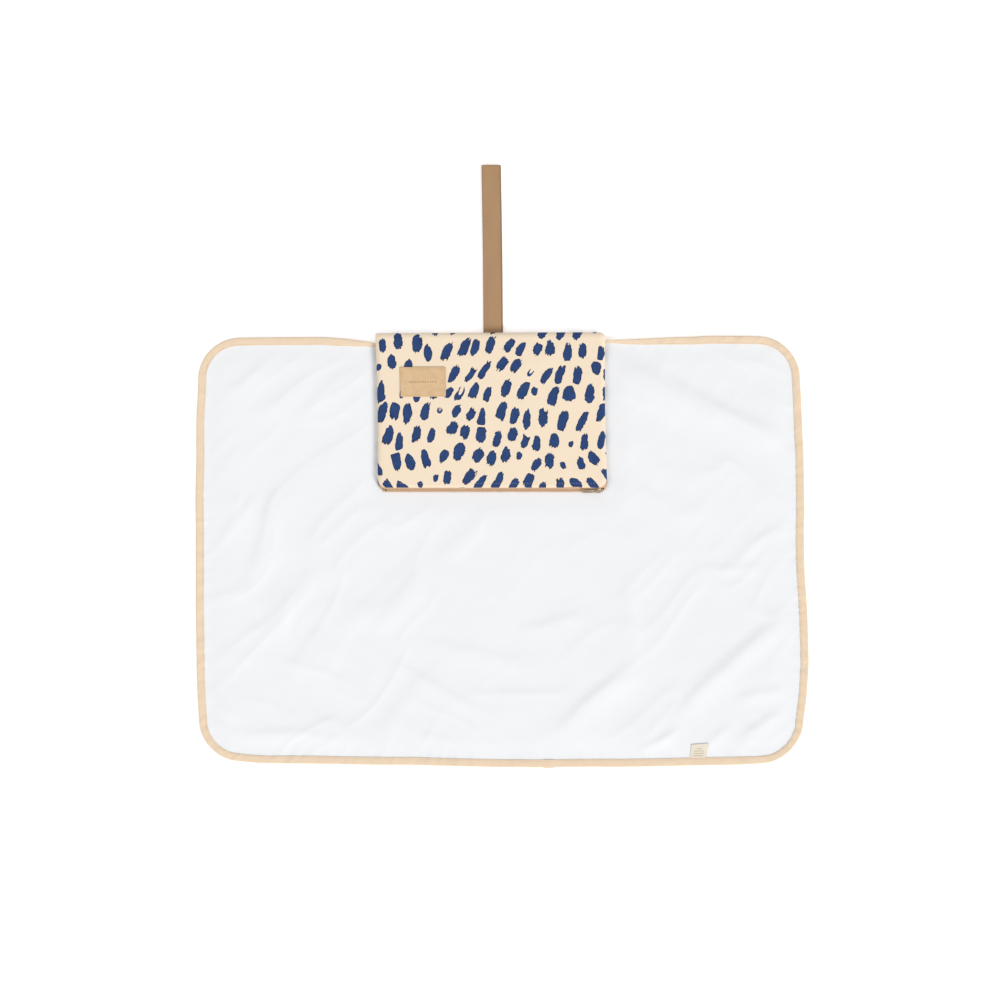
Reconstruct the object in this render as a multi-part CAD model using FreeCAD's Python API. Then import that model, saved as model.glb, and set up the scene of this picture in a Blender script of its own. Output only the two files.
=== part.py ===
import FreeCAD, Part
import os, math

# Travel changing pad: thin bound mat, zipped pouch hinged on its top edge,
# elastic closing loop, leather patch, care label.
# Frame: origin at the middle of the mat on its resting plane, +X along the long
# side, +Y towards the pouch and strap, +Z out of the mat's upper face.
# Millimetres.

V = FreeCAD.Vector

# ---------------------------------------------------------------- dimensions
MAT_L, MAT_W = 680.0, 480.0          # bound outline
MAT_R = 46.0                         # corner radius
T_MAT = 3.6                          # over the binding
T_CLOTH = 0.5                        # binding cloth
BIND_W = 9.0                         # binding flange
Z_BACK = 0.6                         # top of the backing
Z_WAD = 2.4                          # top of the wadding
Z_TOP = 3.05                         # top of the coated sheet
FOLD_L, FOLD_R = -146.0, 122.0       # fold lines
GAP = 0.15                           # half of the gap at a fold line

POUCH_X0, POUCH_X1 = -139.4, 115.8
POUCH_Y0, POUCH_Y1 = 65.3, 243.8
POUCH_Z0, POUCH_Z1 = 3.95, 11.3
POUCH_ZM = 7.25                      # side seam height
R_BOTTOM, R_TR, R_TL = 12.0, 6.0, 3.0
WALL = 0.65
FRONT_EDGE_Y = 72.9                  # lower edge of the front panel

ZIP_Y, ZIP_Z = 69.3, 8.1             # middle of the zip chain
ZIP_UY, ZIP_UZ = 0.8, 0.6            # direction across the zip
ZIP_X0, ZIP_X1 = -130.0, 110.0       # chain ends
SLIDER_X0, SLIDER_X1 = 100.8, 109.8
PIVOT_X, PIVOT_N = 104.5, 2.55       # pull pivot, n above the zip plane
PULL_LEN = 16.5

PATCH_X0, PATCH_X1 = -112.9, -61.9
PATCH_Y0, PATCH_Y1 = 172.9, 205.9
PATCH_T = 1.0

STRAP_W = 20.5
STRAP_X = -10.0
STRAP_T = 2.8
STRAP_Z = 1.9                        # middle of the strap
HINGE_A, HINGE_B = 245.6, 258.6      # the strap's two bending lines
STRAP_END = 430.3
STRAP_SKEW = 0.63                    # degrees

LABEL_X0, LABEL_X1 = 210.0, 231.0
LABEL_HINGE_Y, LABEL_HINGE_Z = -228.4, 3.75
LABEL_END_Y = -213.0


# ---------------------------------------------------------------- helpers
def box(x0, x1, y0, y1, z0, z1):
    return Part.makeBox(x1 - x0, y1 - y0, z1 - z0, V(x0, y0, z0))


def rrect(x0, x1, y0, y1, z0, z1, bl, br, tr, tl):
    """Prism on a rectangle with four corner radii."""
    k = math.sqrt(0.5)
    e = []
    pts = []

    def arc(cx, cy, r, a0):
        a = [math.radians(a0), math.radians(a0 + 45), math.radians(a0 + 90)]
        p = [V(cx + r * math.cos(t), cy + r * math.sin(t), z0) for t in a]
        return p

    arcs = [arc(x0 + bl, y0 + bl, bl, 180), arc(x1 - br, y0 + br, br, 270),
            arc(x1 - tr, y1 - tr, tr, 0), arc(x0 + tl, y1 - tl, tl, 90)]
    for i in range(4):
        a, b, c = arcs[i]
        e.append(Part.Arc(a, b, c).toShape())
        nxt = arcs[(i + 1) % 4][0]
        if (nxt - c).Length > 1e-6:
            e.append(Part.LineSegment(c, nxt).toShape())
    w = Part.Wire(e)
    return Part.Face(w).extrude(V(0, 0, z1 - z0))


def mat_prism(inset, z0, z1):
    r = MAT_R - inset
    return rrect(-MAT_L / 2 + inset, MAT_L / 2 - inset, -MAT_W / 2 + inset, MAT_W / 2 - inset,
                 z0, z1, r, r, r, r)


def zip_pt(x, u, n):
    """Point from zip coordinates: u across the zip, n out of its face."""
    return V(x, ZIP_Y + ZIP_UY * u - ZIP_UZ * n, ZIP_Z + ZIP_UZ * u + ZIP_UY * n)


def zip_bar(x0, x1, poly):
    """Bar along X with a section given in (u, n)."""
    w = Part.makePolygon([zip_pt(x0, u, n) for u, n in poly] + [zip_pt(x0, *poly[0])])
    return Part.Face(w).extrude(V(x1 - x0, 0, 0))


def zip_box(x0, x1, u0, u1, n0, n1):
    return zip_bar(x0, x1, [(u0, n0), (u1, n0), (u1, n1), (u0, n1)])


def yz_bar(x0, x1, poly):
    w = Part.makePolygon([V(x0, y, z) for y, z in poly] + [V(x0, *poly[0])])
    return Part.Face(w).extrude(V(x1 - x0, 0, 0))


def cyl_x(x0, x1, y, z, r):
    return Part.makeCylinder(r, x1 - x0, V(x0, y, z), V(1, 0, 0))


def only_solid(s):
    s = s.removeSplitter() if hasattr(s, "removeSplitter") else s
    if len(s.Solids) == 1:
        return s.Solids[0]
    return s


NODES = {}


def add(name, shape):
    NODES[name] = only_solid(shape)


# ---------------------------------------------------------------- the mat
BIG = 1000.0
panels = {
    "left": box(-BIG, FOLD_L - GAP, -BIG, BIG, -10, 60),
    "centre": box(FOLD_L + GAP, FOLD_R - GAP, -BIG, BIG, -10, 60),
    "right": box(FOLD_R + GAP, BIG, -BIG, BIG, -10, 60),
}
strap_notch = box(STRAP_X - STRAP_W / 2 - 0.3, STRAP_X + STRAP_W / 2 + 0.3, 228.0, 250.0, 0.6, 2.4)

backing = mat_prism(BIND_W + 0.1, 0.0, Z_BACK)
wadding = mat_prism(0.7, Z_BACK, Z_WAD).cut(strap_notch)
top = mat_prism(0.7, Z_WAD, Z_TOP)
binding = mat_prism(0.0, 0.0, T_MAT)
binding = binding.cut(mat_prism(T_CLOTH, T_CLOTH, T_MAT - T_CLOTH))
binding = binding.cut(mat_prism(BIND_W, -1.0, T_MAT + 1.0))
binding = binding.cut(strap_notch)
stitch = mat_prism(7.6, T_MAT, T_MAT + 0.15).cut(mat_prism(8.1, T_MAT - 1, T_MAT + 1))

for side in ("left", "centre", "right"):
    p = panels[side]
    add("mat_backing_" + side, backing.common(p))
    add("mat_wadding_" + side, wadding.common(p))
    add("mat_top_" + side, top.common(p))
    add("binding_stitch_" + side, stitch.common(p))
add("binding_left", binding.common(panels["left"]))
add("binding_right", binding.common(panels["right"]))
mid = binding.common(panels["centre"])
add("binding_top_centre", mid.common(box(-BIG, BIG, 0, BIG, -10, 60)))
add("binding_bottom_centre", mid.common(box(-BIG, BIG, -BIG, 0, -10, 60)))

# tape along the mat's top edge that carries the pouch, with a gap for the strap
tape = box(POUCH_X0 + 3, POUCH_X1 - 3, 240.05, 243.3, 0.9, 3.3)
tape = tape.cut(box(STRAP_X - STRAP_W / 2 - 0.5, STRAP_X + STRAP_W / 2 + 0.5, 230, 250, 0.0, 2.65))
add("pouch_hinge_tape", tape)

# ---------------------------------------------------------------- strap
sx0, sx1 = STRAP_X - STRAP_W / 2, STRAP_X + STRAP_W / 2
add("strap_root", box(sx0, sx1, 228.5, HINGE_A - 1.7, 0.75, 2.3))

h = STRAP_T / 2
riser = box(sx0, sx1, HINGE_A, HINGE_B - 1.7, STRAP_Z - h, STRAP_Z + h)
riser = riser.fuse(cyl_x(sx0, sx1, HINGE_A, STRAP_Z, h))
add("strap_riser", riser)

loop = box(sx0, sx1, HINGE_B, STRAP_END - h, STRAP_Z - h, STRAP_Z + h)
loop = loop.fuse(cyl_x(sx0, sx1, HINGE_B, STRAP_Z, h))
loop = loop.fuse(cyl_x(sx0, sx1, STRAP_END - h, STRAP_Z, h))
# the two layers of the loop lie 0.4 apart, sewn together for its first 6 mm
loop = loop.cut(box(sx0 - 1, sx1 + 1, HINGE_B + 6, STRAP_END - h, STRAP_Z - 0.2, STRAP_Z + 0.2))
loop.rotate(V(STRAP_X, HINGE_B, STRAP_Z), V(0, 0, 1), STRAP_SKEW)
add("strap_loop", loop)

# ---------------------------------------------------------------- pouch
outer = rrect(POUCH_X0, POUCH_X1, POUCH_Y0, POUCH_Y1, POUCH_Z0, POUCH_Z1,
              R_BOTTOM, R_BOTTOM, R_TR, R_TL)
edges = [e for e in outer.Edges if abs(e.BoundBox.ZMax - e.BoundBox.ZMin) < 1e-6]
outer = outer.makeFillet(2.2, edges)
inner = rrect(POUCH_X0 + WALL, POUCH_X1 - WALL, POUCH_Y0 + WALL, POUCH_Y1 - WALL,
              POUCH_Z0 + WALL, POUCH_Z1 - WALL,
              R_BOTTOM - WALL, R_BOTTOM - WALL, R_TR - WALL, R_TL - WALL)
edges = [e for e in inner.Edges if abs(e.BoundBox.ZMax - e.BoundBox.ZMin) < 1e-6]
inner = inner.makeFillet(1.55, edges)
shell = outer.cut(inner)
# mouth of the pouch, closed by the zip
shell = shell.cut(box(-BIG, BIG, 0, FRONT_EDGE_Y, POUCH_Z0 + WALL, 30))
add("pouch_front_panel", shell.common(box(-BIG, BIG, 0, BIG, POUCH_ZM + 0.05, 30)))
add("pouch_back_panel", shell.common(box(-BIG, BIG, 0, BIG, 0, POUCH_ZM - 0.05)))

lx0, lx1 = POUCH_X0 + 2.6, POUCH_X1 - 2.6
add("pouch_back_lining", rrect(lx0, lx1, 75.2, POUCH_Y1 - 2.6, 4.7, 6.0, 4, 4, 4, 4))
add("pouch_front_lining", rrect(lx0, lx1, 79.0, POUCH_Y1 - 2.6, 8.95, 10.55, 4, 4, 4, 4))

patch = rrect(PATCH_X0, PATCH_X1, PATCH_Y0, PATCH_Y1, POUCH_Z1, POUCH_Z1 + PATCH_T, 1.2, 1.2, 1.2, 1.2)
add("leather_patch", patch)
i0, i1 = 1.7, 2.2
ps = rrect(PATCH_X0 + i0, PATCH_X1 - i0, PATCH_Y0 + i0, PATCH_Y1 - i0,
           POUCH_Z1 + PATCH_T, POUCH_Z1 + PATCH_T + 0.15, 1, 1, 1, 1)
ps = ps.cut(rrect(PATCH_X0 + i1, PATCH_X1 - i1, PATCH_Y0 + i1, PATCH_Y1 - i1,
                  POUCH_Z1, POUCH_Z1 + 3, 0.6, 0.6, 0.6, 0.6))
add("patch_stitching", ps)
add("zip_topstitching", box(-126.0, 102.0, 76.4, 76.9, POUCH_Z1, POUCH_Z1 + 0.15))

# zip tapes: the front one turns flat under the front panel, the back one turns
# down to the back panel
half = 0.25
u_bend = 3.7
yb, zb = ZIP_Y + ZIP_UY * u_bend, ZIP_Z + ZIP_UZ * u_bend
a0, a1 = zip_pt(0, 1.95, half), zip_pt(0, 1.95, -half)
top_in = zip_pt(0, u_bend, half)
low_in = zip_pt(0, u_bend, -half)
z_flat = low_in.z
front_tape = [(a0.y, a0.z), (top_in.y, top_in.z), (top_in.y + 0.45, POUCH_Z1 - WALL - 0.05),
              (78.5, POUCH_Z1 - WALL - 0.05), (78.5, POUCH_Z1 - WALL - 0.5),
              (low_in.y, min(low_in.z, POUCH_Z1 - WALL - 0.5)), (a1.y, a1.z)]
add("zip_tape_front", yz_bar(-133.0, 111.0, front_tape))
b0, b1 = zip_pt(0, -1.95, half), zip_pt(0, -1.95, -half)
c0, c1 = zip_pt(0, -4.2, half), zip_pt(0, -4.0, -half)
z_leg = POUCH_Z0 + WALL + 0.03
back_tape = [(b0.y, b0.z), (c0.y, c0.z), (c0.y, z_leg), (c0.y + 0.55, z_leg), (c1.y, c1.z), (b1.y, b1.z)]
add("zip_tape_back", yz_bar(-133.0, 111.0, back_tape))

add("zip_coil_front", zip_box(ZIP_X0, ZIP_X1, 0.35, 1.9, -0.75, 0.75))
add("zip_coil_back", zip_box(ZIP_X0, ZIP_X1, -1.9, -0.35, -0.75, 0.75))
stops = Part.makeCompound([zip_box(ZIP_X1 + 0.1, ZIP_X1 + 1.9, -1.9, 1.9, -0.9, 0.9),
                           zip_box(ZIP_X0 - 1.9, ZIP_X0 - 0.1, -1.9, 1.9, -0.9, 0.9)])
NODES["zip_end_stops"] = stops

# slider: two plates with turned-in flanges, a thin web between the two rows of
# teeth, and a crown for the pull
s0, s1 = SLIDER_X0, SLIDER_X1
slider = zip_box(s0, s1, -3.2, 3.2, 1.0, 1.7)
slider = slider.fuse(zip_box(s0, s1, -3.2, 3.2, -1.7, -1.0))
for sgn in (1, -1):
    for t in (1, -1):
        u = sorted((sgn * 2.55, sgn * 3.2))
        n = sorted((t * 0.55, t * 1.05))
        slider = slider.fuse(zip_box(s0, s1, u[0], u[1], n[0], n[1]))
slider = slider.fuse(zip_box(s1 - 3.4, s1 - 0.4, -0.15, 0.15, -1.2, 1.2))
crown = zip_box(PIVOT_X - 1.9, PIVOT_X + 1.9, -0.9, 0.9, 1.6, 3.75)
p0 = zip_pt(PIVOT_X, -2.0, PIVOT_N)
u_dir = V(0, ZIP_UY, ZIP_UZ)
crown = crown.cut(Part.makeCylinder(0.75, 4.0, p0, u_dir))
slider = slider.fuse(crown)
add("zip_slider_body", slider)

pin = Part.makeCylinder(0.5, 3.8, zip_pt(PIVOT_X, -1.9, PIVOT_N), u_dir)
n0, n1 = PIVOT_N - 0.4, PIVOT_N + 0.4
pull = pin
for sgn in (1, -1):
    u = sorted((sgn * 1.2, sgn * 1.9))
    pull = pull.fuse(zip_box(PIVOT_X - 3.6, PIVOT_X, u[0], u[1], n0, n1))
    pull = pull.fuse(Part.makeCylinder(0.5, 0.7, zip_pt(PIVOT_X, u[0], PIVOT_N), u_dir))
tab = zip_box(PIVOT_X - PULL_LEN, PIVOT_X - 3.0, -2.1, 2.1, n0, n1)
tab = tab.cut(zip_box(PIVOT_X - PULL_LEN + 1.6, PIVOT_X - PULL_LEN + 6.0, -1.0, 1.0, n0 - 1, n1 + 1))
pull = pull.fuse(tab)
add("zip_pull_tab", pull)

# ---------------------------------------------------------------- care label
add("care_label_tail", box(LABEL_X0, LABEL_X1, -230.95, LABEL_HINGE_Y + 0.2, Z_TOP + 0.03, 3.4))
leaf = box(LABEL_X0, LABEL_X1, LABEL_HINGE_Y, LABEL_END_Y - 0.25, LABEL_HINGE_Z - 0.25, LABEL_HINGE_Z + 0.25)
leaf = leaf.fuse(cyl_x(LABEL_X0, LABEL_X1, LABEL_HINGE_Y, LABEL_HINGE_Z, 0.25))
leaf = leaf.fuse(cyl_x(LABEL_X0, LABEL_X1, LABEL_END_Y - 0.25, LABEL_HINGE_Z, 0.25))
add("care_label_leaf", leaf)

# ---------------------------------------------------------------- export
os.makedirs("parts", exist_ok=True)
for name in sorted(NODES):
    s = NODES[name]
    bb = s.BoundBox
    print("%-24s solids %d valid %s vol %9.1f  x %.2f..%.2f y %.2f..%.2f z %.2f..%.2f" % (
        name, len(s.Solids), s.isValid(), s.Volume, bb.XMin, bb.XMax, bb.YMin, bb.YMax, bb.ZMin, bb.ZMax))
    s.exportStep("parts/%s.step" % name)
print(len(NODES), "nodes")
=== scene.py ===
import math

import bpy
import numpy as np
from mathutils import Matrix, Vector


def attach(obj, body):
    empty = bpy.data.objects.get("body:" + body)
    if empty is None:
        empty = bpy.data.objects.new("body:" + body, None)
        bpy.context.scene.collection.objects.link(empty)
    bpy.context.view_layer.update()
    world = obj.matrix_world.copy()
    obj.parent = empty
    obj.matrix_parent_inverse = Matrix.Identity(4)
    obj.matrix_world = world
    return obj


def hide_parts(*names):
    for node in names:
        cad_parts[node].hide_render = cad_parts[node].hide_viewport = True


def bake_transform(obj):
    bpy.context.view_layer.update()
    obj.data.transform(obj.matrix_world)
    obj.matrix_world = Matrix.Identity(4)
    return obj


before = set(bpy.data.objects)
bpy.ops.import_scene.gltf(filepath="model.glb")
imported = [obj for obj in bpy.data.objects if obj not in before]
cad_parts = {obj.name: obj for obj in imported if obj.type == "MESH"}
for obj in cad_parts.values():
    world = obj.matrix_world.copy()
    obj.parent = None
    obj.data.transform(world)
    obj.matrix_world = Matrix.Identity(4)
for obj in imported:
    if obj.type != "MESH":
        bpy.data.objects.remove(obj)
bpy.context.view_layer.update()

MM = 0.001
SEAM_X = -12.0                      # where the mat's two halves meet
HX, HY, RC = 340.0, 240.0, 46.0     # mat outline
PX0, PX1, PY1 = -139.4, 115.8, 243.8
PYF = 71.8                          # lower edge of the pouch's front panel


# ------------------------------------------------------------------ numbers
def sstep(a, b, x):
    t = np.clip((x - a) / (b - a), 0.0, 1.0)
    return t * t * (3 - 2 * t)


def _hash(ix, iy, seed):
    h = (ix.astype(np.int64) * 374761393 + iy.astype(np.int64) * 668265263 + seed * 362437) & 0xFFFFFFFF
    h = ((h ^ (h >> 13)) * 1274126177) & 0xFFFFFFFF
    return ((h ^ (h >> 16)) & 0xFFFFFF) / float(0xFFFFFF) * 2 - 1


def noise(x, y, seed=0):
    x, y = np.broadcast_arrays(np.asarray(x, float), np.asarray(y, float))
    ix, iy = np.floor(x), np.floor(y)
    fx, fy = x - ix, y - iy
    ux, uy = fx ** 3 * (fx * (fx * 6 - 15) + 10), fy ** 3 * (fy * (fy * 6 - 15) + 10)
    a, b = _hash(ix, iy, seed), _hash(ix + 1, iy, seed)
    c, d = _hash(ix, iy + 1, seed), _hash(ix + 1, iy + 1, seed)
    return (a * (1 - ux) + b * ux) * (1 - uy) + (c * (1 - ux) + d * ux) * uy


def fbm(x, y, seed=0, n=3):
    s, a = 0.0, 1.0
    for k in range(n):
        s = s + a * noise(x * 2 ** k, y * 2 ** k, seed + 17 * k)
        a *= 0.5
    return s


# ------------------------------------------------------------------ meshes
def outward(verts, faces):
    """Turn all faces round if the closed surface is inside out."""
    if isinstance(faces, np.ndarray):
        tri = np.concatenate([faces[:, [0, 1, 2]], faces[:, [0, 2, 3]]])
    else:
        tri = np.array([(f[0], f[k], f[k + 1]) for f in faces for k in range(1, len(f) - 1)])
    a, b, c = (verts[tri[:, k]] for k in range(3))
    if np.einsum("ij,ij->i", a, np.cross(b, c)).sum() >= 0:
        return faces
    return faces[:, ::-1] if isinstance(faces, np.ndarray) else [f[::-1] for f in faces]


def mesh_of(name, verts, faces, mats, uvs=None, face_mat=None, sharp=None, attrs=None):
    """verts in mm; faces a list of index lists or an (n, 4) array; uvs maps a layer's name to per-vertex pairs."""
    me = bpy.data.meshes.new(name)
    verts = np.asarray(verts, float)
    faces = outward(verts, faces)
    me.from_pydata((verts * MM).tolist(), [], faces.tolist() if isinstance(faces, np.ndarray) else faces)
    me.validate(clean_customdata=False)
    for m in mats if isinstance(mats, (list, tuple)) else [mats]:
        me.materials.append(m)
    n = len(me.loops)
    idx = np.zeros(n, np.int32)
    me.loops.foreach_get("vertex_index", idx)
    for layer, uv in (uvs or {}).items():
        lay = me.uv_layers.new(name=layer)
        lay.data.foreach_set("uv", np.asarray(uv, np.float32)[idx].ravel())
    for k, v in (attrs or {}).items():
        at = me.attributes.new(k, "FLOAT", "POINT")
        at.data.foreach_set("value", np.asarray(v, np.float32))
    me.polygons.foreach_set("use_smooth", np.ones(len(me.polygons), bool))
    if face_mat is not None:
        me.polygons.foreach_set("material_index", np.asarray(face_mat, np.int32))
    me.update()
    if sharp is not None:
        me.set_sharp_from_angle(angle=math.radians(sharp))
    ob = bpy.data.objects.new(name, me)
    bpy.context.scene.collection.objects.link(ob)
    return ob


def grid_faces(nu, nv, flip=False, base=0, wrap_v=False):
    i, j = np.meshgrid(np.arange(nu - 1), np.arange(nv if wrap_v else nv - 1), indexing="ij")
    i, j = i.ravel(), j.ravel()
    j1 = (j + 1) % nv
    a, b, c, d = i * nv + j, (i + 1) * nv + j, (i + 1) * nv + j1, i * nv + j1
    f = np.stack([a, b, c, d] if not flip else [a, d, c, b], axis=1)
    return f + base


def rim_faces(nu, nv, off_top, off_bot):
    """Faces that join the border of two equal grids, the upper at off_top."""
    ring = [i * nv for i in range(nu)] + [(nu - 1) * nv + j for j in range(1, nv)]
    ring += [i * nv + nv - 1 for i in range(nu - 2, -1, -1)] + [j for j in range(nv - 2, 0, -1)]
    r = np.array(ring)
    s = np.roll(r, -1)
    return np.stack([r + off_top, r + off_bot, s + off_bot, s + off_top], axis=1)


def shell(name, X, Y, Ztop, Zbot, mats, uvs, inset_bot=0.0, sharp=50, attrs=None, Xb=None, Yb=None):
    """Closed shell from two height grids over the same plan."""
    nu, nv = X.shape
    Xb = X if Xb is None else Xb
    Yb = Y if Yb is None else Yb
    top = np.stack([X, Y, Ztop], -1).reshape(-1, 3)
    bot = np.stack([Xb, Yb, Zbot], -1).reshape(-1, 3)
    n = nu * nv
    faces = np.concatenate([grid_faces(nu, nv), grid_faces(nu, nv, flip=True, base=n), rim_faces(nu, nv, 0, n)])
    uv2 = {k: np.concatenate([v.reshape(-1, 2), v.reshape(-1, 2)]) for k, v in uvs.items()}
    at2 = {k: np.concatenate([v.ravel(), v.ravel()]) for k, v in (attrs or {}).items()}
    return mesh_of(name, np.concatenate([top, bot]), faces, mats, uv2, sharp=sharp, attrs=at2)


def sweep(name, P, closed_section, mats, uvs=None, caps=True, sharp=50, attrs=None):
    """P is (stations, section points, 3) in mm."""
    ns, nc, _ = P.shape
    faces = grid_faces(ns, nc, wrap_v=closed_section).tolist()
    if caps and closed_section:
        faces.append(list(range(nc)))
        faces.append([(ns - 1) * nc + k for k in range(nc - 1, -1, -1)])
    return mesh_of(name, P.reshape(-1, 3), faces, mats, uvs, sharp=sharp, attrs=attrs)


def capsules(name, centres, dirs, ups, length, radius, mats, flat=0.75, nr=6):
    """Many small threads: centres, unit directions and unit up vectors, in mm."""
    prof = [(-0.5, 0.35), (-0.42, 0.8), (-0.2, 1.0), (0.2, 1.0), (0.42, 0.8), (0.5, 0.35)]
    c, d, u = np.asarray(centres, float), np.asarray(dirs, float), np.asarray(ups, float)
    s = np.cross(u, d)
    rings = []
    for t, r in prof:
        for k in range(nr):
            a = 2 * math.pi * k / nr
            rings.append(c + d * (t * length) + s * (math.cos(a) * radius * r) + u * (math.sin(a) * radius * r * flat))
    V = np.stack(rings, 1)
    m = len(prof)
    one = grid_faces(m, nr, wrap_v=True).tolist()
    one.append(list(range(nr)))
    one.append([(m - 1) * nr + k for k in range(nr - 1, -1, -1)])
    faces = []
    step = m * nr
    for i in range(len(c)):
        b = i * step
        faces += [[q + b for q in f] for f in one]
    return mesh_of(name, V.reshape(-1, 3), faces, mats)


# ------------------------------------------------------------------ node materials
class Nodes:
    def __init__(self, name, color, rough=0.8, **sockets):
        self.m = bpy.data.materials.new(name)
        self.m.use_nodes = True
        self.m.diffuse_color = (*color, 1)
        self.t = self.m.node_tree
        self.bsdf = self.t.nodes["Principled BSDF"]
        self.bsdf.inputs["Base Color"].default_value = (*color, 1)
        self.bsdf.inputs["Roughness"].default_value = rough
        for k, v in sockets.items():
            self.bsdf.inputs[k.replace("_", " ")].default_value = v

    def node(self, kind, ins=None, **props):
        n = self.t.nodes.new(kind)
        for k, v in props.items():
            setattr(n, k, v)
        for k, v in (ins or {}).items():
            self.put(v, n.inputs[k])
        return n

    def put(self, v, socket):
        if isinstance(v, bpy.types.NodeSocket):
            self.t.links.new(v, socket)
        else:
            socket.default_value = v

    def math(self, op, a, b=0.0, c=0.0, clamp=False):
        n = self.node("ShaderNodeMath", operation=op, use_clamp=clamp)
        for s, v in zip(n.inputs, (a, b, c)):
            self.put(v, s)
        return n.outputs[0]

    def vec(self, op, a, b=(0, 0, 0)):
        n = self.node("ShaderNodeVectorMath", operation=op)
        self.put(a, n.inputs[0])
        if op == "SCALE":
            self.put(b, n.inputs["Scale"])
        else:
            self.put(b, n.inputs[1])
        return n.outputs[0]

    def uv(self, layer, scale=1.0):
        u = self.node("ShaderNodeUVMap", uv_map=layer).outputs[0]
        return u if scale == 1.0 else self.vec("SCALE", u, scale)

    def xyz(self, v):
        n = self.node("ShaderNodeSeparateXYZ", {0: v})
        return n.outputs[0], n.outputs[1], n.outputs[2]

    def join(self, x, y, z=0.0):
        return self.node("ShaderNodeCombineXYZ", {0: x, 1: y, 2: z}).outputs[0]

    def noise(self, v, scale, detail=2.0, rough=0.5, dims="3D"):
        n = self.node("ShaderNodeTexNoise", {"Vector": v, "Scale": scale, "Detail": detail, "Roughness": rough},
                      noise_dimensions=dims)
        return n.outputs["Fac"]

    def ramp(self, x, a, b, lo=0.0, hi=1.0):
        n = self.node("ShaderNodeMapRange", {"Value": x, "From Min": a, "From Max": b, "To Min": lo, "To Max": hi},
                      interpolation_type="SMOOTHSTEP")
        return n.outputs[0]

    def mix(self, f, a, b):
        n = self.node("ShaderNodeMix", data_type="RGBA")
        self.put(f, n.inputs[0])
        self.put(a if isinstance(a, bpy.types.NodeSocket) else (*a, 1), n.inputs[6])
        self.put(b if isinstance(b, bpy.types.NodeSocket) else (*b, 1), n.inputs[7])
        return n.outputs[2]

    def colour(self, c):
        self.put(c, self.bsdf.inputs["Base Color"])

    def rough(self, r):
        self.put(r, self.bsdf.inputs["Roughness"])

    def bump(self, h, strength=0.5, dist=0.0003):
        n = self.node("ShaderNodeBump", {"Height": h, "Strength": strength, "Distance": dist})
        self.put(n.outputs[0], self.bsdf.inputs["Normal"])

    def weave(self, uv_mm, pitch, diag=False):
        """Plain weave height, 0 to 1, from cloth coordinates in mm."""
        x, y, _ = self.xyz(uv_mm)
        if diag:
            x, y = self.math("ADD", x, y), self.math("SUBTRACT", x, y)
        k = math.pi / pitch
        sx = self.math("SINE", self.math("MULTIPLY", x, k))
        sy = self.math("SINE", self.math("MULTIPLY", y, k))
        s = self.math("MULTIPLY", sx, sy)
        warp = self.math("ABSOLUTE", sx)
        weft = self.math("ABSOLUTE", sy)
        over = self.ramp(s, -0.25, 0.25)
        h = self.math("ADD", self.math("MULTIPLY", warp, over),
                      self.math("MULTIPLY", weft, self.math("SUBTRACT", 1.0, over)))
        return h


def cloth(name, base, rough, pitch, dark=0.86, bump=0.35, sheen=0.2, mottling=0.03, diag=False, fibre=True, **kw):
    n = Nodes(name, base, rough, **kw)
    n.bsdf.inputs["Sheen Weight"].default_value = sheen
    n.bsdf.inputs["Sheen Roughness"].default_value = 0.5
    n.bsdf.inputs["Specular IOR Level"].default_value = 0.25
    u = n.uv("cloth", 1000.0)
    h = n.weave(u, pitch, diag)
    blotch = n.noise(u, 0.035, 3.0)
    slub = n.noise(n.vec("MULTIPLY", u, (0.25, 2.2, 1)), 1.0, 2.0)
    # painted shade: the low places of the weave, between the threads, are coloured darker
    c = n.mix(n.ramp(h, 0.0, 0.9), tuple(v * dark for v in base), base)
    c = n.mix(n.math("MULTIPLY", n.ramp(blotch, 0.35, 0.7), mottling * 4), c, tuple(v * 0.86 for v in base))
    c = n.mix(n.math("MULTIPLY", n.ramp(slub, 0.45, 0.75), mottling * 3), c, tuple(min(1, v * 1.05) for v in base))
    n.colour(c)
    n.rough(n.ramp(n.math("ADD", blotch, n.math("MULTIPLY", h, 0.3)), 0.2, 1.1, rough - 0.06, rough + 0.06))
    hh = n.math("ADD", h, n.math("MULTIPLY", n.noise(u, 3.0, 2.0), 0.5)) if fibre else h
    n.bump(hh, bump, pitch * 0.00045)
    return n, u, c, hh


CREAM = (0.80, 0.665, 0.505)
INK = (0.0135, 0.042, 0.140)
INK_EDGE = (0.007, 0.017, 0.062)
INK_LIGHT = (0.022, 0.066, 0.190)
DAB_A, DAB_B = 17.3, 24.6            # spacing of the print's dabs, mm


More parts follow.
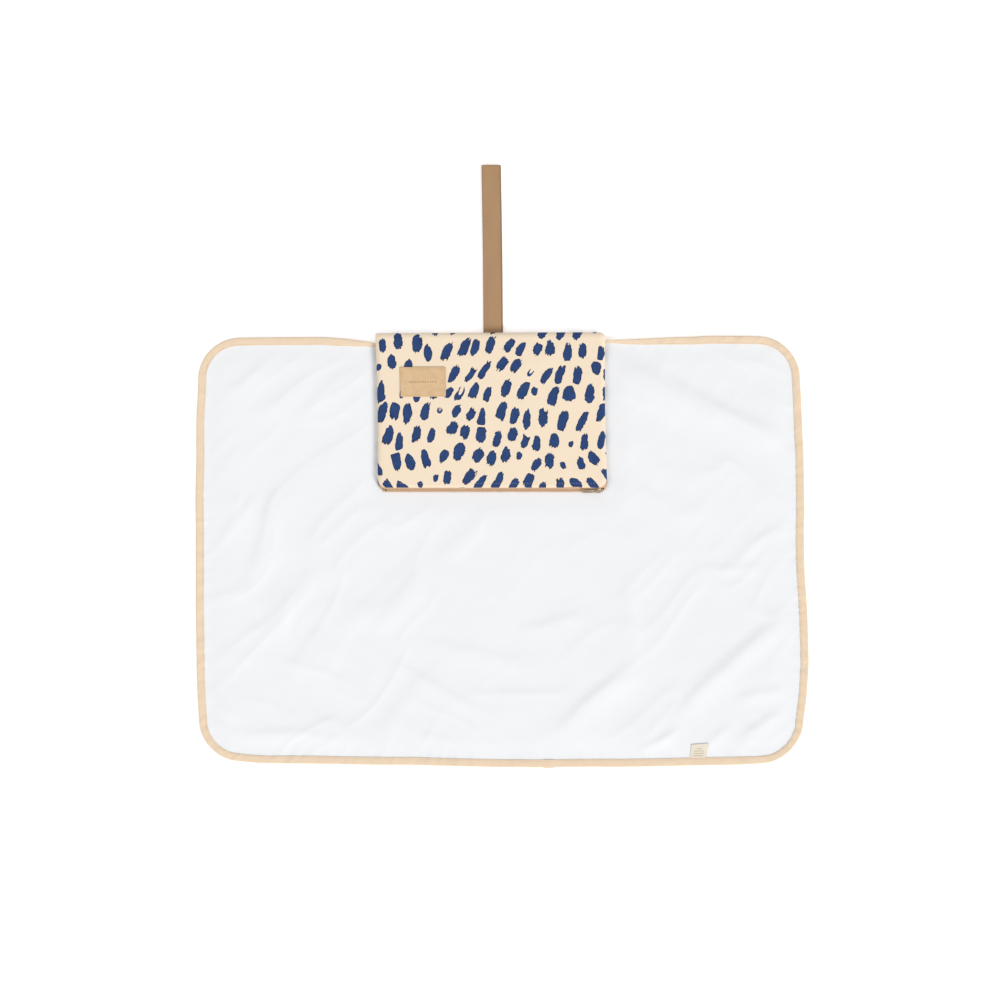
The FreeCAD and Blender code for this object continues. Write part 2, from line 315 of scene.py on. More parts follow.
def printed_cotton(name, seed=0.0):
    """Cream cotton with loose navy brush dabs; a made-up pattern from random cells."""
    n, u, base, hh = cloth(name, CREAM, 0.86, 0.42, dark=0.90, bump=0.3, sheen=0.15, mottling=0.02)
    d = n.uv("dab")
    d = n.vec("ADD", d, (seed, seed * 0.7, 0))
    vo = n.node("ShaderNodeTexVoronoi", {"Vector": d, "Scale": 1.0, "Randomness": 0.42},
                voronoi_dimensions="2D", feature="F1", distance="EUCLIDEAN")
    ed = n.node("ShaderNodeTexVoronoi", {"Vector": d, "Scale": 1.0, "Randomness": 0.42},
                voronoi_dimensions="2D", feature="DISTANCE_TO_EDGE")
    col = n.node("ShaderNodeSeparateColor", {0: vo.outputs["Color"]})
    r1, r2, r3 = col.outputs
    du, dv, _ = n.xyz(n.vec("SUBTRACT", d, vo.outputs["Position"]))
    lx = n.math("MULTIPLY", n.math("ADD", du, n.math("MULTIPLY", dv, 0.45)), DAB_A)
    ly = n.math("MULTIPLY", dv, DAB_B)
    cu, cv, _ = n.xyz(vo.outputs["Position"])
    cx = n.math("MULTIPLY", n.math("ADD", cu, n.math("MULTIPLY", cv, 0.45)), DAB_A)
    cy = n.math("MULTIPLY", cv, DAB_B)
    # lean of the dabs: upright at the left, to the right in the middle, back again in the lower corners
    mid = n.ramp(n.math("ABSOLUTE", n.math("ADD", cx, 5.0)), 20.0, 115.0, 1.0, 0.0)
    low = n.math("MULTIPLY", n.ramp(cy, 88.0, 128.0, 1.0, 0.0), n.ramp(n.math("ABSOLUTE", n.math("ADD", cx, 8.0)), 45.0, 88.0))
    lean = n.math("ADD", 0.10, n.math("MULTIPLY", mid, 0.36))
    lean = n.math("SUBTRACT", lean, n.math("MULTIPLY", low, 0.78))
    ang = n.math("ADD", lean, n.math("MULTIPLY", n.math("SUBTRACT", r1, 0.5), 0.42))
    rot = n.node("ShaderNodeVectorRotate", {"Vector": n.join(lx, ly), "Angle": ang}, rotation_type="Z_AXIS").outputs[0]
    x, y, _ = n.xyz(rot)
    rq = n.math("FRACT", n.math("MULTIPLY", n.math("ADD", r1, r3), 7.31))     # another random number
    rp = n.math("FRACT", n.math("MULTIPLY", n.math("ADD", r2, r3), 11.7))
    small = n.ramp(rq, 0.86, 0.93, 1.0, 0.45)
    w = n.math("MULTIPLY", n.math("MULTIPLY_ADD", r2, 1.8, 3.95), n.math("SQRT", small))
    l = n.math("MULTIPLY", n.math("MULTIPLY_ADD", r3, 3.5, 8.0), small)
    # a dab bends a little and is fuller towards one end
    bend = n.math("MULTIPLY", n.math("SUBTRACT", rp, 0.5), 0.022)
    x = n.math("ADD", x, n.math("MULTIPLY", n.math("MULTIPLY", y, y), bend))
    w = n.math("MULTIPLY", w, n.math("ADD", 1.0, n.math("MULTIPLY", n.math("MULTIPLY", y, 0.022), n.ramp(rq, 0.0, 1.0, -1.0, 1.0))))
    seedv = n.math("MULTIPLY", r2, 57.0)
    lump = n.noise(n.join(n.math("MULTIPLY", x, 0.20), n.math("MULTIPLY", y, 0.15), seedv), 1.0, 1.0)
    streak = n.noise(n.join(n.math("MULTIPLY", x, 0.62), n.math("MULTIPLY", y, 0.10), seedv), 1.0, 2.0)
    rag = n.noise(n.join(n.math("MULTIPLY", x, 0.9), n.math("MULTIPLY", y, 0.55), seedv), 1.0, 2.0)
    nx = n.math("DIVIDE", n.math("ABSOLUTE", x), w)
    ny = n.math("DIVIDE", n.math("ABSOLUTE", y), l)
    f = n.math("ADD", n.math("POWER", nx, 2.4), n.math("POWER", ny, 2.7))
    ends = n.ramp(ny, 0.45, 1.0)
    thr = n.math("ADD", 0.93, n.math("MULTIPLY", n.math("SUBTRACT", lump, 0.5), 1.5))
    thr = n.math("ADD", thr, n.math("MULTIPLY", n.math("MULTIPLY", n.math("SUBTRACT", streak, 0.5), ends), 2.4))
    thr = n.math("ADD", thr, n.math("MULTIPLY", n.math("SUBTRACT", rag, 0.5), 0.65))
    g = n.math("SUBTRACT", thr, f)
    g = n.math("SMOOTH_MIN", g, n.math("MULTIPLY", n.math("SUBTRACT", ed.outputs["Distance"], 0.04), 6.0), 0.7)
    ink = n.ramp(g, -0.05, 0.05)
    # a few dabs are open strokes, left dry in the middle
    hole = n.math("ADD", n.math("POWER", n.math("DIVIDE", n.math("ABSOLUTE", x), n.math("MULTIPLY", w, 0.52)), 2.0),
                  n.math("POWER", n.math("DIVIDE", n.math("ABSOLUTE", n.math("SUBTRACT", y, n.math("MULTIPLY", l, 0.55))),
                                         n.math("MULTIPLY", l, 0.85)), 2.0))
    open_one = n.math("MULTIPLY", n.ramp(rp, 0.965, 0.970), n.ramp(hole, 0.85, 1.0, 1.0, 0.0))
    ink = n.math("MULTIPLY", ink, n.math("SUBTRACT", 1.0, open_one))
    dry = n.ramp(n.noise(n.join(n.math("MULTIPLY", x, 1.2), n.math("MULTIPLY", y, 0.12), seedv), 1.0, 2.0), 0.60, 0.74)
    inner = n.ramp(n.math("SUBTRACT", g, n.math("MULTIPLY", dry, 0.25)), 0.10, 0.45)
    tone = n.mix(inner, INK_EDGE, INK)
    tone = n.mix(n.math("MULTIPLY", n.ramp(lump, 0.4, 0.75), 0.35), tone, INK_LIGHT)
    n.colour(n.mix(ink, base, tone))
    return n.m


def coated_cloth():
    n, u, c, hh = cloth("coated_cloth", (0.748, 0.752, 0.761), 0.50, 0.30, dark=0.965, bump=0.10, sheen=0.05, mottling=0.010)
    n.bsdf.inputs["Specular IOR Level"].default_value = 0.4
    return n.m


def elastic():
    base = (0.385, 0.232, 0.122)
    n = Nodes("elastic_webbing", base, 0.82)
    n.bsdf.inputs["Sheen Weight"].default_value = 0.25
    n.bsdf.inputs["Sheen Roughness"].default_value = 0.45
    n.bsdf.inputs["Specular IOR Level"].default_value = 0.2
    u = n.uv("cloth", 1000.0)
    x, y, _ = n.xyz(u)
    ribs = n.math("ABSOLUTE", n.math("SINE", n.math("MULTIPLY", x, math.pi / 1.15)))
    picks = n.math("ABSOLUTE", n.math("SINE", n.math("ADD", n.math("MULTIPLY", y, math.pi / 0.62),
                                                 n.math("MULTIPLY", n.math("FLOOR", n.math("DIVIDE", x, 1.15)), 1.57))))
    h = n.math("ADD", n.math("MULTIPLY", ribs, 0.6), n.math("MULTIPLY", picks, 0.4))
    # painted shade in the grooves between ribs and picks, and painted light on their tops
    c = n.mix(n.ramp(h, 0.05, 0.85), tuple(v * 0.62 for v in base), tuple(v * 1.06 for v in base))
    big = n.noise(n.vec("MULTIPLY", u, (0.1, 0.02, 1)), 1.0, 3.0)
    c = n.mix(n.math("MULTIPLY", n.ramp(big, 0.35, 0.7), 0.25), c, tuple(v * 1.16 for v in base))
    # painted shade: both edges of the band are darkened, standing in for the shadow one layer of the loop casts on the
    # other
    side = n.ramp(n.math("ABSOLUTE", n.math("SUBTRACT", x, 20.5)), 9.1, 10.1)
    c = n.mix(n.math("MULTIPLY", side, 0.75), c, tuple(v * 0.50 for v in base))
    n.colour(c)
    n.rough(n.ramp(h, 0.0, 1.0, 0.90, 0.76))
    n.bump(n.math("ADD", h, n.math("MULTIPLY", n.noise(u, 2.5, 2.0), 0.4)), 0.6, 0.00035)
    return n.m


def leather():
    base = (0.625, 0.425, 0.240)
    n = Nodes("patch_leather", base, 0.55)
    n.bsdf.inputs["Specular IOR Level"].default_value = 0.4
    u = n.uv("cloth", 1000.0)
    v1 = n.node("ShaderNodeTexVoronoi", {"Vector": u, "Scale": 1.1}, feature="DISTANCE_TO_EDGE").outputs["Distance"]
    pore = n.ramp(v1, 0.0, 0.22)
    cloudy = n.noise(u, 0.12, 4.0, 0.6)
    at = n.node("ShaderNodeAttribute", attribute_name="press").outputs["Fac"]
    edge = n.node("ShaderNodeAttribute", attribute_name="edge").outputs["Fac"]
    c = n.mix(n.ramp(cloudy, 0.3, 0.7), tuple(v * 0.93 for v in base), tuple(min(1, v * 1.05) for v in base))
    c = n.mix(n.math("MULTIPLY", n.math("SUBTRACT", 1.0, pore), 0.18), c, tuple(v * 0.7 for v in base))
    c = n.mix(edge, c, (0.42, 0.27, 0.14))
    c = n.mix(at, c, (0.30, 0.175, 0.070))
    n.colour(c)
    n.rough(n.ramp(cloudy, 0.3, 0.7, 0.48, 0.62))
    n.bump(n.math("ADD", pore, n.math("MULTIPLY", n.noise(u, 4.0, 3.0), 0.4)), 0.35, 0.00015)
    return n.m


def thread(name, base):
    n = Nodes(name, base, 0.7)
    n.bsdf.inputs["Sheen Weight"].default_value = 0.3
    g = n.node("ShaderNodeTexCoord").outputs["Generated"]
    w = n.noise(g, 420.0, 2.0)
    n.colour(n.mix(n.ramp(w, 0.3, 0.7), tuple(v * 0.8 for v in base), tuple(min(1, v * 1.08) for v in base)))
    n.bump(w, 0.3, 0.0001)
    return n.m


def metal(name, base=(0.50, 0.39, 0.28)):
    n = Nodes(name, base, 0.32, Metallic=1.0)
    g = n.node("ShaderNodeTexCoord").outputs["Object"]
    w = n.noise(n.vec("MULTIPLY", g, (900, 9000, 9000)), 1.0, 3.0)
    worn = n.noise(g, 600.0, 3.0)
    n.colour(n.mix(n.ramp(worn, 0.35, 0.7), tuple(v * 0.86 for v in base), tuple(min(1, v * 1.08) for v in base)))
    n.rough(n.ramp(w, 0.2, 0.8, 0.26, 0.42))
    n.bump(w, 0.08, 0.00005)
    return n.m


def nylon(name, base):
    n = Nodes(name, base, 0.42)
    g = n.node("ShaderNodeTexCoord").outputs["Object"]
    w = n.noise(g, 1500.0, 2.0)
    n.colour(n.mix(n.ramp(w, 0.3, 0.7), tuple(v * 0.85 for v in base), base))
    n.rough(n.ramp(w, 0.3, 0.7, 0.36, 0.5))
    n.bump(w, 0.1, 0.0001)
    return n.m


def label_cloth():
    base = (0.70, 0.645, 0.52)
    n, u, c, hh = cloth("label_tape", base, 0.6, 0.30, dark=0.9, bump=0.2, sheen=0.3, mottling=0.02)
    x, y, _ = n.xyz(u)
    # four plain bars: a mark that says nothing
    ink = None
    for cy, half, th in ((2.3, 5.2, 0.42), (4.9, 5.8, 0.42), (7.5, 5.2, 0.42), (10.1, 2.8, 0.42)):
        a = n.ramp(n.math("ABSOLUTE", n.math("SUBTRACT", x, 10.5)), half + 0.12, half - 0.12, 0.0, 1.0)
        b = n.ramp(n.math("ABSOLUTE", n.math("SUBTRACT", y, cy)), th + 0.1, th - 0.1, 0.0, 1.0)
        s = n.math("MULTIPLY", a, b)
        ink = s if ink is None else n.math("MAXIMUM", ink, s)
    n.colour(n.mix(n.math("MULTIPLY", ink, 0.7), c, (0.34, 0.25, 0.15)))
    return n.m


BEIGE = (0.745, 0.585, 0.420)
M_TOP = coated_cloth()
M_PRINT = printed_cotton("printed_cotton")
M_PRINT_BACK = printed_cotton("printed_cotton_back", 31.4)
M_BIND = cloth("binding_cotton", BEIGE, 0.82, 0.36, dark=0.88, bump=0.3, sheen=0.25, mottling=0.03, diag=True)[0].m
M_WAD = cloth("wadding", (0.80, 0.80, 0.78), 0.95, 1.2, dark=0.95, bump=0.4, sheen=0.4)[0].m
M_LINING = cloth("lining", (0.80, 0.76, 0.68), 0.8, 0.35)[0].m
M_TAPE = cloth("zip_tape", (0.590, 0.375, 0.220), 0.75, 0.50, dark=0.78, bump=0.5, sheen=0.25, mottling=0.03)[0].m
M_COIL = nylon("zip_coil", (0.60, 0.400, 0.245))
M_METAL = metal("zip_metal")
M_ELASTIC = elastic()
M_LEATHER = leather()
M_THREAD = thread("thread", (0.74, 0.585, 0.42))
M_PTHREAD = thread("patch_thread", (0.55, 0.37, 0.20))
M_LABEL = label_cloth()


# ------------------------------------------------------------------ the mat's shape
def depth_in(x, y):
    """How far a point lies inside the mat's outline."""
    qx, qy = np.abs(x) - (HX - RC), np.abs(y) - (HY - RC)
    sd = np.hypot(np.maximum(qx, 0), np.maximum(qy, 0)) + np.minimum(np.maximum(qx, qy), 0) - RC
    return -sd


RIDGES = [  # x0, y0, x1, y1, half width, height: soft folds of the lying cloth
    (-314, 180, -264, 211, 9, 1.35),
    (-286, 147, -208, 203, 13, 1.35),
    (-236, 147, -147, 214, 12, 1.26),
    (-280, -25, -241, 69, 12, 1.35),
    (-247, 58, -163, 130, 14, 0.99),
    (-314, 8, -264, -70, 4, 0.675),
    (-236, -36, -241, -103, 11, 0.99),
    (-247, -120, -163, -148, 5, 0.54),
    (-152, -86, -86, -20, 14, 1.35),
    (14, -86, 98, -64, 9, 0.9),
    (62, -212, 145, -120, 14, 1.8),
    (181, -192, 326, -59, 13, 2.0),
    (131, 214, 226, 164, 16, 2.07),
    (203, 175, 323, 116, 15, 1.8),
    (156, 72, 192, 51, 5, 0.54),
    (209, -8, 298, -21, 6, 0.63),
    (248, -20, 323, 36, 7, 0.81),
    (151, -228, 195, -199, 7, 1.35),
    (-36, -160, 81, -158, 5, 0.54),
    (-136, -125, -8, -184, 6, 0.81),
    (-331, -156, -294, -195, 8, 1.53),
    (-308, -212, -180, -206, 9, 0.9),
    (-208, -175, -161, -227, 5, 0.72),
    (259, -167, 323, -156, 8, 0.99),
    (142, -14, 148, -131, 13, 0.81),
    (-330, 69, -286, 114, 6, 0.81),
    (-329, 97, -294, 133, 5, 0.63),
    (-314, 19, -275, 58, 6, 0.72),
    (215, -227, 254, -200, 6, 0.9),
    (-102, -103, 42, -131, 12, 0.81),
    (-13, 36, -58, -9, 10, 0.63),
    (265, -214, 320, -181, 7, 1.17),
    (-230, -59, -113, -59, 16, 0.63),
]


def wrinkle(x, y):
    u = x - SEAM_X
    t = np.clip(np.abs(u) / 14.0, 0, 1)
    xe = SEAM_X + np.where(np.abs(u) < 14.0, u * t * t * (3 - 2 * t), u)    # level across the seam
    z = 0.55 + 0.55 * fbm(xe / 150 + 3.1, y / 130, 5, 3)
    wx, wy = xe + 7 * noise(xe / 60, y / 60, 21), y + 7 * noise(xe / 60, y / 60, 22)
    for x0, y0, x1, y1, w, a in RIDGES:
        dx, dy = x1 - x0, y1 - y0
        ll = dx * dx + dy * dy
        s = ((wx - x0) * dx + (wy - y0) * dy) / ll
        d = ((wx - x0) * dy - (wy - y0) * dx) / math.sqrt(ll)
        along = np.exp(-((s - 0.5) / 0.42) ** 4)
        d = np.where(d > 0, d * 0.75, d * 1.5)
        z = z + a * along * np.exp(-(d / w) ** 2)
    # fine crumple, strongest near the edges and under tension lines
    z = z + 0.13 * fbm(xe / 26 + y / 90, y / 22 - xe / 80, 9, 3)
    up = np.maximum(sstep(-20, -150, xe), sstep(40, 150, xe) * sstep(40, -60, y))
    down = np.maximum(sstep(60, 150, xe) * sstep(-20, 60, y), 0.7 * sstep(-90, -190, y) * sstep(60, -60, xe))
    wob = 10 * noise(xe / 80, y / 80, 23)
    ra = 1 - np.abs(noise((xe * 0.70 - y * 0.71 + wob) / 25, (xe * 0.71 + y * 0.70) / 105, 13))
    rb = 1 - np.abs(noise((xe * 0.5 + y * 0.86 + wob) / 25, (xe * 0.86 - y * 0.5) / 105, 14))
    z = z + 0.75 * ra ** 4 * (0.25 + 0.75 * up) + 0.7 * rb ** 4 * (0.15 + 0.85 * down)
    d = depth_in(x, y)
    z = np.maximum(z, 0.0) * (0.12 + 0.88 * sstep(2, 42, d))
    ang = np.arctan2(y, x * HY / HX) * 60
    fade = sstep(4, 22, np.abs(u))
    z = z + 0.60 * (0.8 + noise(ang * 1.0 + d * 0.04, d * 0 + 0.5, 31)) * np.exp(-(d / 17.0) ** 2) * fade
    z = z + 0.32 * (0.8 + noise(ang * 2.3 - d * 0.05, d * 0.02, 33)) * np.exp(-(d / 12.0) ** 2) * fade
    # the pouch lies on the mat and keeps it flat
    m = sstep(0, 26, np.maximum.reduce([PX0 - 2 - x, x - PX1 - 2, 66 - y]))
    left = 1 - 0.45 * sstep(-150, -175, x) * sstep(50, 80, y)
    return z * m * left


def pinch(x):
    """How much of the edge is drawn in beside the pouch (0 none, 1 all)."""
    return np.interp(x, [-191, -175, -158, -149, -141, -128, -118, 96, 105, 116, 124, 131, 142, 153, 176, 198, 222],
                     [0, 0.10, 0.28, 0.40, 0.52, 0.25, 0, 0, 0.30, 0.64, 0.59, 0.52, 0.41, 0.31, 0.18, 0.08, 0])


CORNERS = ((-1, 1, 0.6), (1, 1, 0.6), (1, -1, 4.9), (-1, -1, 1.4))
# how far the lying mat's edges stray, mm: position along the edge, then shift
EDGE_L = ([-210, -192, -175, -159, -142, -125, -9, 8, 25, 41, 58, 75, 91, 108, 125, 141, 158, 175, 191, 208],
          [3.1, 3.1, 2.3, 1.6, 1.2, 1.3, 1.2, 1.1, 0.9, 0.3, -0.5, -0.7, -0.8, -1.0, -1.7, -2.1, -2.0, -1.2, -1.0, -1.0])
EDGE_R = ([-210, -192, -175, -159, -142, -125, -109, -92, -75, -59, -42, -25, -9, 8, 25, 41, 58, 75, 91, 108, 125, 175, 191],
          [-3.9, -3.9, -2.7, -1.1, -0.2, 0.6, 0.1, -0.6, -1.2, -1.8, -2.6, -3.1, -2.9, -2.1, -1.6, -0.6, -0.2, 0.2, 0.4, 0.6, 0.0, -1.0, -1.6])
EDGE_T = ([-200, -186, -175, -163, -152, -141, -125, 108, 120, 131, 142, 153, 165, 220, 231, 242, 276, 300],
          [0.0, -1.0, -1.1, -1.7, -1.8, -2.4, 0.0, 0.0, 2.2, 1.5, 0.4, -0.2, -0.7, -0.5, 0.4, 1.0, 1.3, 1.0])
EDGE_B = ([-314, -297, -280, -263, -213, -197, -163, -130, -97, -80, -63, -47, -30, -13, 3, 20, 37, 53, 70, 87, 103, 170, 187, 203, 220, 237, 253, 270, 300, 320],
          [2.1, 2.4, 1.1, 0.2, 0.1, -0.2, -0.9, -1.5, -1.7, -2.2, -2.6, -3.1, -3.4, -3.7, -3.7, -3.2, -3.0, -2.3, -1.3, -0.7, -0.2, 0.1, 0.5, 1.0, 1.3, 1.8, 2.1, 2.7, 3.0, 2.4])


def laid(x, y, z):
    """Mat coordinates to their place as it lies: wobbling outline, folds, and edges drawn in beside the pouch."""
    x, y, z = (np.asarray(v, float) for v in np.broadcast_arrays(x, y, z))
    zz = z + wrinkle(x, y)
    f = pinch(x)
    e = np.maximum(y - 230.5, 0)
    y2 = y - e * f
    z2 = zz + 0.22 * e * f
    right = sstep(0, 340, x)
    lft = sstep(0, 340, -x)
    dx = -7.6 * right * sstep(-110, 235, y) + 3.0 * lft * sstep(20, 215, y)
    dx = dx + 1.6 * right * np.exp(-((y + 60) / 60) ** 2) * sstep(280, 340, x)
    dx = dx - 1.2 * lft * sstep(-190, -40, y) * (1 - sstep(-20, 110, y))
    dy = 4.2 * sstep(-60, -240, y) * (1 - sstep(-60, 190, x)) + 1.0 * sstep(-60, -240, y)
    dy = dy - 1.2 * sstep(120, 240, y) * sstep(150, 330, np.abs(x)) + 0.9 * noise(x / 95, 0.5, 71) * sstep(150, 240, np.abs(y))
    dx = dx + 0.8 * noise(y / 80, 0.5, 73) * sstep(250, 340, np.abs(x))
    dx = dx + np.interp(y, *EDGE_L) * lft + np.interp(y, *EDGE_R) * right
    dy = dy + np.interp(x, *EDGE_T) * sstep(60, 232, y) + np.interp(x, *EDGE_B) * sstep(-60, -232, y)
    for sx, sy, a in CORNERS:
        p = (np.clip((x * sx - (HX - 75)) / 75, 0, 1) * np.clip((y * sy - (HY - 75)) / 75, 0, 1)) ** 1.5
        dx = dx - sx * a * p
        dy = dy - sy * a * p
    return x + dx, y2 + dy, np.maximum(z2, 0.0)


def columns(inset, step):
    """Plan x of the grid's columns for an outline inset by that much, from edge to edge."""
    c = HX - RC
    r = RC - inset
    th = np.linspace(0, math.pi / 2, 15)[1:]
    right = c + r * np.sin(th)
    n1 = int(round((c - SEAM_X) / step))
    n0 = int(round((c + SEAM_X) / step))
    mid_r = np.linspace(SEAM_X, c, n1 + 1)
    mid_l = np.linspace(-c, SEAM_X, n0 + 1)
    return np.concatenate([-right[::-1], mid_l]), np.concatenate([mid_r, right])


def half_height(x, inset):
    r = RC - inset
    a = np.clip(np.abs(x) - (HX - RC), 0, r)
    return HY - RC + np.sqrt(np.maximum(r * r - a * a, 0))


def dab_uv(x, y):
    """Cloth coordinates of the print: staggered rows, a little bent."""
    f = 5.0 * noise(x / 66 + 0.3, y / 60 + 0.2, 51)
    g = 7.0 * noise(x / 62, y / 70, 52)
    v = (y + g) / DAB_B
    return np.stack([(x + f) / DAB_A - 0.45 * v, v], -1)


def cloth_uv(x, y):
    return np.stack([x * MM, y * MM], -1)


def top_low(x, y):
    d = depth_in(x, y)
    puff = 0.75 * sstep(8.5, 30, d)
    under = 1 - 0.75 * sstep(0, 14, np.minimum.reduce([x - PX0, PX1 - x, y - 66]))
    return 2.42 + puff * under


def back_low(x, y):
    return 0.54 - 0.52 * sstep(8.4, 14, depth_in(x, y))


def mat_layer(kind, side, cols, inset, rows, zlow, zhigh, mat, name, nodes, flat_print=False):
    t = np.linspace(-1, 1, rows)
    t = np.sign(t) * (1 - (1 - np.abs(t)) ** 1.15)      # rows a little closer near the edges
    X = np.repeat(cols[:, None], rows, 1)
    H = half_height(cols, inset)
    Y = H[:, None] * t[None, :]
    Zl, Zh = zlow(X, Y), zhigh(X, Y)
    uvs = {"cloth": cloth_uv(X, Y)}
    if flat_print:
        uvs["dab"] = dab_uv(X + 700, Y + 300)
    xa, ya, za = laid(X, Y, Zh)
    xb, yb, zb = laid(X, Y, Zl)
    ob = shell(name, xa, ya, za, zb, mat, uvs, Xb=xb, Yb=yb, sharp=50)
    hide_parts(*nodes)
    return ob


def hinge_mat(ob, side):
    if side == "left":
        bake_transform(ob)
    else:       # baked in place, the same as the left side
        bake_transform(ob)
    return ob


STEP = 3.0
for side in ("left", "right"):
    k = 0 if side == "left" else 1
    centre_too = side == "left"
    area = {"left": 0.152, "right": 0.163}[side]
    ob = mat_layer("top", side, columns(0.8, STEP)[k], 0.8, 161, top_low, lambda x, y: top_low(x, y) + 0.6, M_TOP,
                   "mat_top_" + side + "_half", ["mat_top_" + side] + (["mat_top_centre"] if centre_too else []))
    top_ob = hinge_mat(ob, side)
    ob = mat_layer("wad", side, columns(1.2, 6.0)[k], 1.2, 81, lambda x, y: back_low(x, y) + 0.55,
                   lambda x, y: top_low(x, y) - 0.08, M_WAD, "mat_wadding_" + side + "_half",
                   ["mat_wadding_" + side] + (["mat_wadding_centre"] if centre_too else []))
    hinge_mat(ob, side)
    ob = mat_layer("back", side, columns(1.0, STEP)[k], 1.0, 161, back_low, lambda x, y: back_low(x, y) + 0.5, M_PRINT_BACK,
                   "mat_backing_" + side + "_half", ["mat_backing_" + side] + (["mat_backing_centre"] if centre_too else []),
                   flat_print=True)
    hinge_mat(ob, side)


# ------------------------------------------------------------------ binding
def outline(side):
    """Stations along half of the outline: point, inward normal, running length."""
    pts, nor = [], []

    def add(x, y, nx, ny):
        pts.append((x, y)); nor.append((nx, ny))

    s = -1 if side == "left" else 1
    xs = np.arange(abs(s * (HX - RC) - SEAM_X) / 3.0 + 1e-9)
    L = abs(s * (HX - RC) - SEAM_X)
    n = int(round(L / 3.0))
    for i in range(n):
        add(SEAM_X + s * L * i / n, HY, 0, -1)
    for i in range(33):
        a = math.pi / 2 * i / 32
        add(s * (HX - RC + RC * math.sin(a)), HY - RC + RC * math.cos(a), -s * math.sin(a), -math.cos(a))
    m = int(round(2 * (HY - RC) / 3.0))
    for i in range(1, m):
        add(s * HX, HY - RC - 2 * (HY - RC) * i / m, -s, 0)
    for i in range(33):
        a = math.pi / 2 * i / 32
        add(s * (HX - RC + RC * math.cos(a)), -(HY - RC + RC * math.sin(a)), -s * math.cos(a), math.sin(a))
    for i in range(1, n + 1):
        add(s * (HX - RC) - s * L * i / n, -HY, 0, 1)
    P, N = np.array(pts), np.array(nor)
    S = np.concatenate([[0], np.cumsum(np.linalg.norm(np.diff(P, axis=0), axis=1))])
    return P, N, S


def binding(side):
    P, N, S = outline(side)
    W = 9.0
    outer = [(W, 0.0), (7.9, 0.0), (6.0, 0.0), (4.0, 0.0), (2.0, 0.0), (1.1, 0.05)]
    for a in np.linspace(-80, 80, 13):
        outer.append((1.25 - 1.25 * math.cos(math.radians(a)), 1.85 + 1.82 * math.sin(math.radians(a))))
    outer += [(1.9, 3.68), (3.2, 3.72), (4.8, 3.72), (6.3, 3.70), (7.2, 3.64), (7.55, 3.56), (7.8, 3.50), (8.05, 3.56), (8.5, 3.62), (W - 0.1, 3.60), (W, 3.50)]
    inner = [(W, 3.08), (7.8, 3.04), (4.5, 3.05), (2.2, 3.05)]
    for a in np.linspace(70, -70, 7):
        inner.append((1.75 - 1.1 * math.cos(math.radians(a)), 1.85 + 1.25 * math.sin(math.radians(a))))
    inner += [(2.2, 0.52), (4.5, 0.5), (W, 0.5)]
    sec = np.array(outer + inner)
    ns, nc = len(P), len(sec)
    D = sec[None, :, 0].repeat(ns, 0)
    Z = sec[None, :, 1].repeat(ns, 0)
    fade = sstep(3, 20, np.abs(P[:, 0] - SEAM_X))[:, None]
    top = (Z > 2.9) & (np.arange(nc)[None, :] < len(outer))
    SS = S[:, None]
    # small cross folds of the bias tape, and a width that isn't quite even
    puck = 0.16 * noise(SS / 4.2, D * 0.06, 41 if side == "left" else 43) + 0.12 * noise(SS / 9.0, D * 0.1, 44)
    Z = Z + np.where(top, puck * sstep(0.5, 3, D) * (1 - sstep(7.6, 9, D) * 0.6), 0) * fade
    wid = 1 + (0.035 * noise(SS / 40, 0.5, 45) + 0.02 * noise(SS / 11, 0.5, 46)) * fade
    D = np.where(D > 3, 3 + (D - 3) * wid, D)
    if side == "right":           # where the tape's ends are lapped and sewn
        j = sstep(45.5, 47.5, P[:, 0]) * (1 - sstep(57, 60, P[:, 0])) * (P[:, 1] < -200)
        Z = Z + j[:, None] * np.where(Z > 1.8, 0.55, -0.0) * (0.8 + 0.3 * noise(SS / 3, D * 0.3, 48))
        D = D - j[:, None] * np.where(D < 2.2, 0.9, 0.0)
        Z = np.maximum(Z, 0)
    x = P[:, None, 0] + N[:, None, 0] * D
    y = P[:, None, 1] + N[:, None, 1] * D
    xa, ya, za = laid(x, y, Z)
    V = np.stack([xa, ya, za], -1)
    run = np.concatenate([[0], np.cumsum(np.linalg.norm(np.diff(sec, axis=0), axis=1))])
    uv = np.stack([SS.repeat(nc, 1) * MM, run[None, :].repeat(ns, 0) * MM], -1).reshape(-1, 2)
    nodes = ["binding_left", "binding_top_centre"] if side == "left" else ["binding_right", "binding_bottom_centre"]
    ob = sweep("binding_" + side + "_half", V, True, M_BIND, {"cloth": uv}, sharp=62)
    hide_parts(*nodes)
    hinge_mat(ob, side)
    # topstitching, above and below
    c, d, u = [], [], []
    pitch = 3.3
    n = int(S[-1] / pitch)
    for level, zz in ((0, 3.60), (1, -0.02)):
        for i in range(n):
            s = (i + 0.5) * S[-1] / n
            q = np.array([np.interp(s + e, S, P[:, 0]) for e in (-0.8, 0, 0.8)])
            w = np.array([np.interp(s + e, S, P[:, 1]) for e in (-0.8, 0, 0.8)])
            nn = np.array([np.interp(s, S, N[:, 0]), np.interp(s, S, N[:, 1])])
            nn = nn / np.linalg.norm(nn)
            px, py = q + nn[0] * 7.8, w + nn[1] * 7.8
            X, Y, Zq = laid(px, py, np.full(3, zz if level == 0 else 0.12))
            t = np.array([X[2] - X[0], Y[2] - Y[0], Zq[2] - Zq[0]])
            t = t / np.linalg.norm(t)
            up = np.array([0, 0, 1.0])
            up = up - t * (up @ t)
            c.append((X[1], Y[1], Zq[1])); d.append(t); u.append(up / np.linalg.norm(up))
    st = capsules("binding_stitches_" + side, c, d, u, 2.5, 0.24, M_THREAD)
    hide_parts("binding_stitch_" + side, *(["binding_stitch_centre"] if side == "left" else []))
    hinge_mat(st, side)


binding("left")
binding("right")


# ------------------------------------------------------------------ pouch
SEAM_Z = 7.3
RB, RTR, RTL = 11.0, 6.0, 2.6


